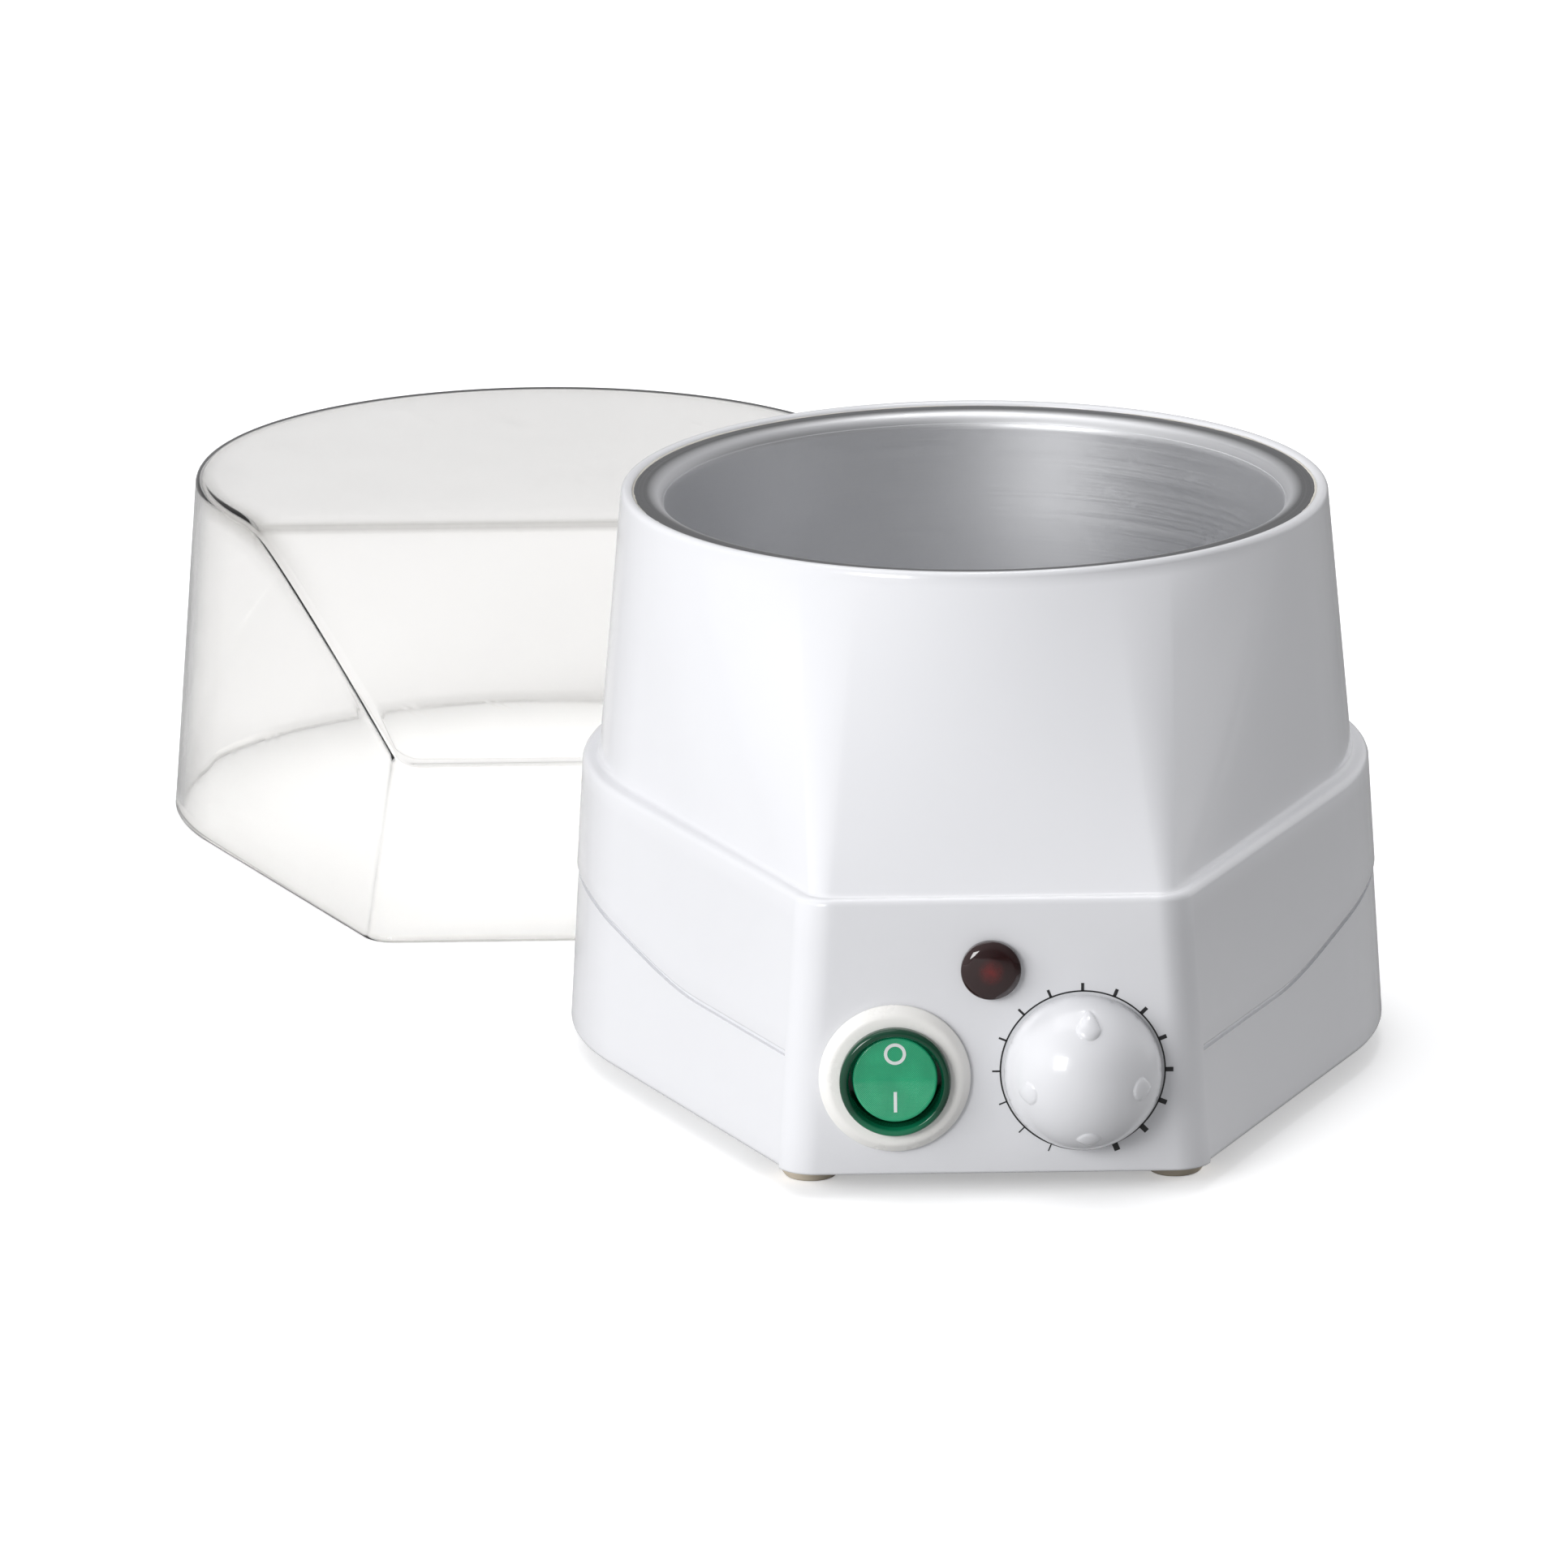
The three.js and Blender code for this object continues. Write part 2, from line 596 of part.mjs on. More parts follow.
const STRAP_BOTTOM = HEATER_BOTTOM + (HEATER_HEIGHT - STRAP_HEIGHT) / 2;
const STRAP_MIDDLE = STRAP_BOTTOM + STRAP_HEIGHT / 2;
const STRAP_LUG_X = STACK_GAP_WIDTH / 4;
const STRAP_LUG_REACH = 9;
const STRAP_LUG_Y = -(STRAP_INNER + STRAP_THICKNESS / 2 + STRAP_LUG_REACH / 2 - 0.4);

function bandStrap() {
  let strap = openBand(STRAP_INNER, STRAP_THICKNESS, STRAP_BOTTOM, STRAP_HEIGHT, 2 * STRAP_LUG_X);
  for (const x of [-STRAP_LUG_X, STRAP_LUG_X]) {
    const lug = block(1, STRAP_LUG_REACH, STRAP_HEIGHT, x, STRAP_LUG_Y, STRAP_MIDDLE);
    const hole = new THREE.CylinderGeometry(SCREW_RADIUS + 0.3, SCREW_RADIUS + 0.3, 4, 16)
      .rotateZ(Math.PI / 2)
      .translate(x, STRAP_LUG_Y - 1.5, STRAP_MIDDLE);
    strap = strap.add(solid(lug)).subtract(solid(hole));
  }
  return piece("heater_strap", strap, MATERIALS.steel);
}

function strapScrew() {
  const half = STRAP_LUG_X + 3;
  const profile = [
    [0, -half],
    [SCREW_RADIUS, -half],
    [SCREW_RADIUS, STRAP_LUG_X + 0.8],
    [2.9, STRAP_LUG_X + 0.8],
    [2.9, half],
    [0, half],
  ];
  const screw = turned(profile, 16)
    .rotateZ(-Math.PI / 2)
    .translate(0, STRAP_LUG_Y - 1.5, STRAP_MIDDLE);
  return piece("strap_screw", screw, MATERIALS.steel);
}

function insulationSleeve() {
  const sleeve = openBand(
    SLEEVE_INNER,
    SLEEVE_THICKNESS,
    SLEEVE_BOTTOM,
    SLEEVE_HEIGHT,
    STACK_GAP_WIDTH,
  );
  return piece("insulation_sleeve", sleeve, MATERIALS.insulation);
}

const PAD_RADIUS = BORE - WELL_DRAFT - WELL_FLOOR_ROUND;
const SHIELD_POST_RADIUS = 0.78 * PAD_RADIUS;

function shieldPosts() {
  return [90, 210, 330].map((degrees) => {
    const angle = THREE.MathUtils.degToRad(degrees);
    return [SHIELD_POST_RADIUS * Math.cos(angle), SHIELD_POST_RADIUS * Math.sin(angle)];
  });
}

function floorPad() {
  let pad = solid(
    post(0, 0, FLOOR_PAD_TOP - FLOOR_PAD_THICKNESS, FLOOR_PAD_TOP, PAD_RADIUS, 48),
  );
  for (const [x, y] of shieldPosts()) {
    const bottom = FLOOR_PAD_TOP - FLOOR_PAD_THICKNESS;
    pad = pad.subtract(solid(post(x, y, bottom - 1, bottom + 3, 3.6)));
  }
  return piece("floor_insulation", pad, MATERIALS.insulation);
}

function heatShield() {
  let shield = solid(post(0, 0, SHIELD_TOP - SHIELD_THICKNESS, SHIELD_TOP, PAD_RADIUS, 48));
  for (const [x, y] of shieldPosts()) {
    shield = shield.subtract(solid(post(x, y, POST_TOP, SHIELD_TOP + 1, SCREW_RADIUS + 0.1, 16)));
  }
  return piece("heat_shield", shield, MATERIALS.steel);
}

// A pan-head screw that points up or down along Z, its head's bearing face at the given height.
function screw(name, x, y, bearing, length, pointing, shank) {
  const profile = [
    [0, -2],
    [SCREW_HEAD_RADIUS - 0.5, -2],
    [SCREW_HEAD_RADIUS, -1.3],
    [SCREW_HEAD_RADIUS, 0],
    [shank, 0],
    [shank, length - 1],
    [0, length],
  ];
  const geometry = turned(profile, 12).applyMatrix4(UPRIGHT);
  if (pointing === "down") geometry.applyMatrix4(FORWARD);
  return piece(name, geometry.translate(x, y, bearing), MATERIALS.steel);
}

function fasteners() {
  const fromBelow = BOSSES.map(([x, y], k) =>
    screw(`housing_screw_${k + 1}`, x, y, SCREW_PAD_TOP - 2 - RUN_GAP, 14, "up", SCREW_RADIUS),
  );
  const onShield = shieldPosts().map(([x, y], k) =>
    screw(`shield_screw_${k + 1}`, x, y, SHIELD_TOP + RUN_GAP, 9, "down", SCREW_RADIUS - 0.3),
  );
  return [...fromBelow, ...onShield];
}

// A domed rubber foot whose barbed stem is pulled through the tray's floor.
function rubberFoot(name, x, y) {
  const profile = [
    [0, -FOOT_STAND],
    [0.55 * FOOT_RADIUS, -FOOT_STAND],
    [0.86 * FOOT_RADIUS, 0.6 - FOOT_STAND],
    [FOOT_RADIUS, 0.5 - FOOT_STAND / 2],
    [FOOT_RADIUS, -RUN_GAP],
    [2, -RUN_GAP],
    [2, TRAY_FLOOR + RUN_GAP],
    [3, TRAY_FLOOR + RUN_GAP],
    [2, TRAY_FLOOR + 2.5],
    [0, TRAY_FLOOR + 2.8],
  ];
  return piece(name, turnedUp(profile, 16).translate(x, y, 0), MATERIALS.foot);
}

// ---------------------------------------------------------------- temperature sensing

const BULB_RADIUS = 3;
const BULB_LENGTH = 56;
const BULB_HEIGHT = WELL_FLOOR + BULB_RISE;
const BULB_Y = -(WELL_OUTER + 2 * RUN_GAP + BULB_RADIUS);
const FUSE_RADIUS = 2.2;
const FUSE_HEIGHT = WELL_FLOOR + FUSE_RISE;

// A bracket that holds a rod against the front of the well.
function rodClip(name, radius, y, z) {
  const outer = radius + RUN_GAP + 0.8;
  const ring = new THREE.Shape();
  ring.absarc(0, 0, outer, 0, 2 * Math.PI);
  const hole = new THREE.Path();
  hole.absarc(0, 0, radius + RUN_GAP / 2, 0, 2 * Math.PI, true);
  ring.holes.push(hole);
  const width = 8;
  const clip = new THREE.ExtrudeGeometry(ring, {
    depth: width,
    bevelEnabled: false,
    curveSegments: 9,
  });
  clip.translate(0, 0, -width / 2).rotateY(Math.PI / 2);
  const trimmed = solid(clip.translate(0, y, z)).subtract(
    solid(turnedUp(wellBarrel(z - 10, z + 10), 48)),
  );
  return piece(name, trimmed, MATERIALS.steel);
}

// Outside of the well's wall with its clearance, between two heights.
function wellBarrel(bottom, top) {
  const radius = WELL_OUTER + RUN_GAP / 2;
  return [
    [0, bottom],
    [radius, bottom],
    [radius, top],
    [0, top],
  ];
}

function rod(name, radius, length, y, z, material) {
  const half = length / 2;
  const profile = [
    [0, -half],
    [0.7 * radius, -half],
    [radius, 0.6 - half],
    [radius, half - 0.6],
    [0.7 * radius, half],
    [0, half],
  ];
  return piece(name, turned(profile, 14).rotateZ(-Math.PI / 2).translate(0, y, z), material);
}

function capillaryTube() {
  const start = BULB_LENGTH / 2 + RUN_GAP;
  const points = [
    [start, BULB_Y, BULB_HEIGHT],
    [start + 9, BULB_Y - 1, BULB_HEIGHT - 2],
    [start + 12, BULB_Y - 7, BULB_HEIGHT - 14],
    [start + 8, BULB_Y - 14, BULB_HEIGHT - 30],
    [KNOB_X + 8, THERMOSTAT_BACK + 8, KNOB_Z + 26],
    [KNOB_X + 5, THERMOSTAT_BACK - 8, THERMOSTAT_TOP + 6],
    [KNOB_X + 5, THERMOSTAT_BACK - 8, THERMOSTAT_TOP + RUN_GAP],
  ];
  return piece("capillary_tube", tube(points, 1, 18), MATERIALS.brass);
}

// ---------------------------------------------------------------- controls

function switchCollar() {
  const bore = COLLAR_BORE;
  const profile = [
    [bore, RUN_GAP],
    [COLLAR_RADIUS - 0.4, RUN_GAP],
    [COLLAR_RADIUS, 0.7],
    [COLLAR_RADIUS - 0.3, 1.4],
    [COLLAR_RADIUS - 1.6, 0.86 * COLLAR_RISE],
    [COLLAR_RADIUS - 2.8, COLLAR_RISE],
    [bore, COLLAR_RISE],
    [bore, RUN_GAP],
  ];
  return piece("switch_collar", turnedOut(profile, SWITCH_X, SWITCH_Z, 40), MATERIALS.collar);
}

const BEZEL_BOTTOM = COLLAR_RISE + RUN_GAP / 2;
const BEZEL_TOP = BEZEL_BOTTOM + BEZEL_RISE;
const ROCKER_WELL = ROCKER_RADIUS + ROCKER_CLEARANCE;
const ROCKER_POCKET_DEPTH = 7;

function switchBody() {
  const profile = [
    [0, -SWITCH_DEPTH],
    [SWITCH_BARREL - 0.8, -SWITCH_DEPTH],
    [SWITCH_BARREL, 0.8 - SWITCH_DEPTH],
    [SWITCH_BARREL, BEZEL_BOTTOM],
    [BEZEL_RADIUS, BEZEL_BOTTOM],
    [BEZEL_RADIUS, BEZEL_TOP - 1],
    [BEZEL_RADIUS - 0.4, BEZEL_TOP - 0.3],
    [BEZEL_RADIUS - 1.1, BEZEL_TOP],
    [ROCKER_WELL + 0.2, BEZEL_TOP],
    [ROCKER_WELL, BEZEL_TOP - 0.3],
    [ROCKER_WELL, -ROCKER_POCKET_DEPTH],
    [0, -ROCKER_POCKET_DEPTH],
  ];
  const tabTop = PANEL_Y + WALL + RUN_GAP + 2.5;
  let body = solid(turnedOut(profile, SWITCH_X, SWITCH_Z));
  for (const side of [-1, 1]) {
    const tab = block(2.4, 5, 5, SWITCH_X + side * (SWITCH_BARREL + 0.4), tabTop, SWITCH_Z);
    body = body.add(solid(tab));
  }
  for (const side of [-1, 1]) {
    const ear = block(2, 3, 3, SWITCH_X + side * (ROCKER_WELL - 0.4), PANEL_Y + ROCKER_PIVOT_DEPTH,
      SWITCH_Z);
    body = body.add(solid(ear));
  }
  return piece("switch_body", body, MATERIALS.green);
}

// A round rocker with two faces that meet in a shallow valley on its pivot's line, tilted with its
// upper half pressed in.
function switchRocker() {
  const valley = BEZEL_TOP - 1.2 + ROCKER_PIVOT_DEPTH;
  const face = ROCKER_RADIUS * Math.tan(THREE.MathUtils.degToRad(ROCKER_TILT));
  const side = new THREE.Shape();
  side.moveTo(0, valley);
  side.lineTo(-ROCKER_RADIUS - 1, valley + 1.1 * face);
  side.lineTo(-ROCKER_RADIUS - 1, -0.5);
  side.lineTo(-3, -4.2);
  side.lineTo(3, -4.2);
  side.lineTo(ROCKER_RADIUS + 1, -0.5);
  side.lineTo(ROCKER_RADIUS + 1, valley + 1.1 * face);
  side.closePath();
  const width = 2 * ROCKER_RADIUS + 4;
  const wedge = new THREE.ExtrudeGeometry(side, { depth: width, bevelEnabled: false });
  wedge.translate(0, 0, -width / 2).rotateY(Math.PI / 2).rotateX(Math.PI);
  const taper = 0.9; // over half of the blank's height, so that the tilted rim clears the bezel
  const blank = 15;
  const disc = new THREE.CylinderGeometry(
    ROCKER_RADIUS + taper,
    ROCKER_RADIUS - taper,
    2 * blank,
    40,
  );
  let rocker = solid(wedge).intersect(solid(disc));
  for (const end of [-1, 1]) {
    const notch = block(3, 4.4, 4.4, end * (ROCKER_RADIUS + 0.1), 0, 0);
    rocker = rocker.subtract(solid(notch));
  }
  const mesh = piece("switch_rocker", rocker, MATERIALS.green);
  mesh.rotation.x = THREE.MathUtils.degToRad(-ROCKER_TILT);
  mesh.position.set(SWITCH_X, PANEL_Y + ROCKER_PIVOT_DEPTH, SWITCH_Z);
  return mesh;
}

function blade(name, x, y, z) {
  const length = 8;
  return piece(name, block(6.3, length, 0.8, x, y + length / 2 + RUN_GAP / 2, z), MATERIALS.brass);
}

function lampLens() {
  const profile = [
    [0, -8],
    [LAMP_STEM, -8],
    [LAMP_STEM, RUN_GAP],
    [LAMP_RADIUS, RUN_GAP],
    [LAMP_RADIUS, 1.2],
    [LAMP_RADIUS - 0.5, 2.1],
    [0.68 * LAMP_RADIUS, 0.86 * LAMP_RISE],
    [0.36 * LAMP_RADIUS, 0.97 * LAMP_RISE],
    [0, LAMP_RISE],
  ];
  return piece("lamp_lens", turnedOut(profile, LAMP_X, LAMP_Z, 24), MATERIALS.red);
}

function lampNut() {
  const inner = LAMP_STEM + RUN_GAP / 2;
  const top = -WALL - RUN_GAP;
  const profile = [
    [inner, top - 2.2],
    [LAMP_RADIUS + 0.9, top - 2.2],
    [LAMP_RADIUS + 0.9, top],
    [inner, top],
    [inner, top - 2.2],
  ];
  return piece("lamp_nut", turnedOut(profile, LAMP_X, LAMP_Z, 20), MATERIALS.moulding);
}

function lampBody() {
  const profile = [
    [0, -22],
    [LAMP_STEM - 0.8, -22],
    [LAMP_STEM - 0.2, -21],
    [LAMP_STEM - 0.2, -8 - RUN_GAP],
    [0, -8 - RUN_GAP],
  ];
  return piece("lamp_body", turnedOut(profile, LAMP_X, LAMP_Z, 20), MATERIALS.moulding);
}

const THERMOSTAT_WIDTH = 30;
const THERMOSTAT_HEIGHT = 31;
const THERMOSTAT_DEPTH = 22;
const THERMOSTAT_FRONT = PANEL_Y + WALL + RUN_GAP;
const THERMOSTAT_BACK = THERMOSTAT_FRONT + THERMOSTAT_DEPTH;
const THERMOSTAT_TOP = KNOB_Z + THERMOSTAT_HEIGHT / 2;
const BUSH_RISE = 3.2;
const SHAFT_END = 12;
const SHAFT_SEAT_DEPTH = 12;

function thermostatBody() {
  const box = block(
    THERMOSTAT_WIDTH,
    THERMOSTAT_DEPTH,
    THERMOSTAT_HEIGHT,
    KNOB_X,
    THERMOSTAT_FRONT + THERMOSTAT_DEPTH / 2,
    KNOB_Z,
  );
  const bush = pegOut(KNOB_X, KNOB_Z, BUSH_RADIUS, -WALL - 1, BUSH_RISE, 24);
  const bore = pegOut(KNOB_X, KNOB_Z, SHAFT_BORE, -SHAFT_SEAT_DEPTH, BUSH_RISE + 1, 32);
  const body = solid(box).add(solid(bush)).subtract(solid(bore));
  return piece("thermostat_body", body, MATERIALS.phenolic);
}

function bushNut() {
  const hexagon = new THREE.CylinderGeometry(8, 8, 2.2, 6);
  const hole = new THREE.CylinderGeometry(BUSH_RADIUS + 0.15, BUSH_RADIUS + 0.15, 4, 24);
  const nut = solid(hexagon).subtract(solid(hole));
  const mesh = piece("thermostat_nut", nut, MATERIALS.steel);
  mesh.position.set(KNOB_X, PANEL_Y - RUN_GAP - 1.1, KNOB_Z);
  return mesh;
}

// The spindle, with the flat that keys the knob on its front end.
function thermostatShaft() {
  const shaft = solid(
    pegOut(KNOB_X, KNOB_Z, SHAFT_RADIUS, RUN_GAP - SHAFT_SEAT_DEPTH, SHAFT_END, 32),
  );
  const flat = keyFlat(SHAFT_RADIUS, 0);
  return piece("thermostat_shaft", shaft.subtract(solid(flat)), MATERIALS.steel);
}

// The material that a spindle's flat takes away, or that the knob's bore keeps.
function keyFlat(radius, clearance) {
  const from = BUSH_RISE + 1;
  const length = KNOB_RISE - from;
  const depth = radius - 1.9 - clearance;
  return block(2 * radius + 2, length, depth, KNOB_X, PANEL_Y - from - length / 2,
    KNOB_Z + 1.9 + clearance + depth / 2);
}

function dome(angle) {
  const turn = THREE.MathUtils.degToRad(angle);
  const height = KNOB_PANEL_GAP + (KNOB_RISE - KNOB_PANEL_GAP) * Math.sin(turn);
  return [KNOB_RADIUS * Math.cos(turn), height];
}

// A hollow domed knob with a keyed socket and four raised drops, the first of them its pointer.
function controlKnob() {
  const dropAngle = 38;
  const cavityTop = 0.62 * KNOB_RISE;
  const profile = [
    [0, SHAFT_END + RUN_GAP],
    [SHAFT_BORE, SHAFT_END + RUN_GAP],
    [SHAFT_BORE, BUSH_RISE + 0.8],
    [2 * SHAFT_RADIUS, BUSH_RISE + 0.8],
    [2 * SHAFT_RADIUS, cavityTop],
    [0.62 * KNOB_RADIUS, 0.9 * cavityTop],
    [KNOB_RADIUS - 2.4, 0.4 * cavityTop],
    [KNOB_RADIUS - 1.6, KNOB_PANEL_GAP],
    ...Array.from({ length: 10 }, (_, k) => dome(10 * k)),
  ];
  let knob = solid(turnedOut(profile, KNOB_X, KNOB_Z, 36));
  const key = solid(keyFlat(SHAFT_BORE, SHAFT_CLEARANCE));
  const core = solid(pegOut(KNOB_X, KNOB_Z, SHAFT_BORE + 0.4, BUSH_RISE + 1, SHAFT_END + 1, 24));
  knob = knob.add(key.intersect(core));
  for (let k = 0; k < BUMP_COUNT; k++) {
    const [radius, height] = dome(dropAngle);
    const turn = (2 * Math.PI * k) / BUMP_COUNT;
    const drop = new THREE.SphereGeometry(BUMP_RADIUS, 12, 8).scale(1, 1, 1.15);
    drop.translate(0, 0.9 - height, radius).rotateY(turn);
    knob = knob.add(solid(drop.translate(KNOB_X, PANEL_Y, KNOB_Z)));
  }
  return piece("control_knob", knob, MATERIALS.shell);
}

// ---------------------------------------------------------------- supply

const GLAND_HEIGHT = 15;
const GLAND_NECK = 6;
const GLAND_BORE = 3.6;

// A moulded gland through the back of the tray, ready for a supply cord.
function cordGland() {
  const face = SKIRT_RADIUS + RUN_GAP;
  const inside = SKIRT_RADIUS - 9;
  const profile = [
    [GLAND_BORE, inside],
    [GLAND_NECK, inside],
    [GLAND_NECK, face],
    [GLAND_NECK + 2.6, face],
    [GLAND_NECK + 2.2, face + 2.2],
    [GLAND_BORE + 1.4, face + 5],
    [GLAND_BORE, face + 5],
    [GLAND_BORE, inside],
  ];
  return piece("cord_gland", turned(profile, 20).translate(0, 0, GLAND_HEIGHT), MATERIALS.collar);
}

function glandNut() {
  const outside = SKIRT_RADIUS - TRAY_RECESS - WALL - 1.7;
  const inner = GLAND_NECK + RUN_GAP / 2;
  const profile = [
    [inner, outside - 3],
    [GLAND_NECK + 3, outside - 3],
    [GLAND_NECK + 3, outside],
    [inner, outside],
    [inner, outside - 3],
  ];
  return piece("gland_nut", turned(profile, 16).translate(0, 0, GLAND_HEIGHT), MATERIALS.moulding);
}

const TERMINAL_Y = 62;
const TERMINAL_TOP = TRAY_FLOOR + RUN_GAP + 11;

function terminalBlock() {
  const height = TERMINAL_TOP - TRAY_FLOOR - RUN_GAP;
  const centre = TRAY_FLOOR + RUN_GAP + height / 2;
  let base = solid(block(30, 14, height, 0, TERMINAL_Y, centre));
  for (const x of [-9, 0, 9]) {
    base = base.subtract(solid(post(x, TERMINAL_Y, TERMINAL_TOP - 3, TERMINAL_TOP + 1, 2, 12)));
    base = base.subtract(solid(block(3.6, 6, 3.6, x, TERMINAL_Y - 6, centre - 1)));
  }
  return piece("terminal_block", base, MATERIALS.moulding);
}

// Each inner wire: its name and the points it passes through.
function wires() {
  const blockFront = TERMINAL_Y - 7 - RUN_GAP;
  const blockZ = TRAY_FLOOR + RUN_GAP + 4.5;
  const switchBack = PANEL_Y + SWITCH_DEPTH + 8 + 3 * RUN_GAP;
  const thermostatBack = THERMOSTAT_BACK + 8 + 3 * RUN_GAP;
  const low = TRAY_FLOOR + 3;
  const heaterEnd = -(HEATER_INNER + HEATER_THICKNESS + 1.5);
  const routes = {
    wire_supply_to_switch: [
      [-9, blockFront, blockZ],
      [-14, 30, low],
      [-26, -30, low],
      [-24, -75, low + 3],
      [SWITCH_X, switchBack, SWITCH_Z - 6],
    ],
    wire_switch_to_thermostat: [
      [SWITCH_X, switchBack, SWITCH_Z + 6],
      [SWITCH_X + 8, switchBack + 8, SWITCH_Z + 7],
      [KNOB_X - 14, thermostatBack + 7, KNOB_Z + 8],
      [KNOB_X - 7, thermostatBack + 5, KNOB_Z + 8],
      [KNOB_X - 7, thermostatBack, KNOB_Z + 8],
    ],
    wire_supply_to_heater: [
      [9, blockFront, blockZ],
      [14, 30, low],
      [22, -40, low + 1],
      [30, -76, 18],
      [24, -78, 36],
      [10, heaterEnd - 6, HEATER_BOTTOM + 2],
      [STACK_GAP_WIDTH / 4 - 2, heaterEnd, HEATER_BOTTOM + 4],
    ],
    wire_thermostat_to_heater: [
      [KNOB_X + 7, thermostatBack, KNOB_Z - 8],
      [KNOB_X + 6, thermostatBack + 6, KNOB_Z],
      [12, -86, 42],
      [-2, heaterEnd - 7, HEATER_BOTTOM + 9],
      [2 - STACK_GAP_WIDTH / 4, heaterEnd, HEATER_BOTTOM + 4],
    ],
    wire_switch_to_lamp: [
      [SWITCH_X - 6, switchBack, SWITCH_Z],
      [SWITCH_X - 4, switchBack + 4, SWITCH_Z + 16],
      [LAMP_X - 8, PANEL_Y + 30, LAMP_Z + 1],
      [LAMP_X, PANEL_Y + 28, LAMP_Z],
      [LAMP_X, PANEL_Y + 22 + 2 * RUN_GAP, LAMP_Z],
    ],
  };
  return Object.entries(routes).map(([name, points]) =>
    piece(name, tube(points, 1.2), MATERIALS.wire),
  );
}

// ---------------------------------------------------------------- lid

// The lid's outside, or its inside when drawn in by the wall: an upright drafted shell with the
// plan of the ledge, cut by a plane that falls from the flat top's front edge to the nose's band.
function lidBody(drawnIn, bottom) {
  const shoulder = inset(skirt(LEDGE_HEIGHT), LID_EDGE);
  const crown = { ...shoulder, radius: LID_TOP_RADIUS, halfWidth: shoulder.halfWidth - LID_NOSE_DRAFT };
  const top = LID_HEIGHT - drawnIn;
  const low = lift(outline(inset(shoulder, drawnIn)), bottom);
  const high = lift(outline(inset(crown, drawnIn)), LID_HEIGHT + 1);
  const shell = solid(skin([low, blend(low, high, 0.5), high], false));
  const slope = (LID_HEIGHT - LID_BAND_HEIGHT) / (shoulder.reach - LID_CHORD);
  const far = 2 * NOSE_REACH;
  const shift = drawnIn * (Math.hypot(1, slope) - 1);
  const side = new THREE.Shape();
  side.moveTo(-LID_CHORD + shift / slope, top);
  side.lineTo(-far, top - slope * (far - LID_CHORD + shift / slope));
  side.lineTo(-far, top + far);
  side.lineTo(far, top + far);
  side.lineTo(far, top);
  side.closePath();
  const cutter = new THREE.ExtrudeGeometry(side, { depth: 2 * far, bevelEnabled: false });
  cutter.rotateX(Math.PI / 2).rotateZ(Math.PI / 2).translate(-far, 0, 0);
  return shell.subtract(solid(cutter));
}

function lid() {
  const shell = lidBody(0, 0).subtract(lidBody(LID_WALL, -1));
  const mesh = piece("lid", shell, MATERIALS.clear);
  mesh.position.set(LID_X, LID_Y, -FOOT_STAND);
  return mesh;
}

// ---------------------------------------------------------------- assembly

const shellGroup = new THREE.Group();
shellGroup.add(upperHousing(), baseTray(), ...fasteners());
FEET.forEach(([x, y], k) => shellGroup.add(rubberFoot(`rubber_foot_${k + 1}`, x, y)));

const wellGroup = new THREE.Group();
wellGroup.add(heatingWell(), rimSeal(), heaterBand(), bandStrap(), strapScrew());
wellGroup.add(insulationSleeve(), floorPad(), heatShield());
wellGroup.add(rod("thermostat_bulb", BULB_RADIUS, BULB_LENGTH, BULB_Y, BULB_HEIGHT, MATERIALS.brass));
wellGroup.add(rodClip("bulb_clip", BULB_RADIUS, BULB_Y, BULB_HEIGHT));
const FUSE_Y = -(WELL_OUTER + 2 * RUN_GAP + FUSE_RADIUS);
wellGroup.add(rod("thermal_fuse", FUSE_RADIUS, 20, FUSE_Y, FUSE_HEIGHT, MATERIALS.collar));
wellGroup.add(rodClip("fuse_clip", FUSE_RADIUS, FUSE_Y, FUSE_HEIGHT));
wellGroup.add(capillaryTube());

const switchGroup = new THREE.Group();
switchGroup.add(switchCollar(), switchBody(), switchRocker());
[-6, 6].forEach((offset, k) =>
  switchGroup.add(blade(`switch_blade_${k + 1}`, SWITCH_X, PANEL_Y + SWITCH_DEPTH, SWITCH_Z + offset)),
);

const lampGroup = new THREE.Group();
lampGroup.add(lampLens(), lampNut(), lampBody());

const thermostatGroup = new THREE.Group();
thermostatGroup.add(thermostatBody(), bushNut(), thermostatShaft(), controlKnob());
thermostatGroup.add(blade("thermostat_blade_1", KNOB_X - 7, THERMOSTAT_BACK, KNOB_Z + 8));
thermostatGroup.add(blade("thermostat_blade_2", KNOB_X + 7, THERMOSTAT_BACK, KNOB_Z - 8));

const supplyGroup = new THREE.Group();
supplyGroup.add(cordGland(), glandNut(), terminalBlock(), ...wires());

const group = new THREE.Group();
group.add(shellGroup, wellGroup, switchGroup, lampGroup, thermostatGroup, supplyGroup, lid());

export default group;
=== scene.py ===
# Wax warmer pot: fine surfaces and finishes round its CAD frame, laid out as an add-on.
# Metres. The origin is on the well's axis, on the underside of the base tray; the control panel
# faces -Y and heights run along +Z.

import json
import math
from collections import namedtuple

import bmesh
import bpy
import numpy as np
from bpy.props import FloatProperty, FloatVectorProperty, PointerProperty
from mathutils import Matrix, Vector


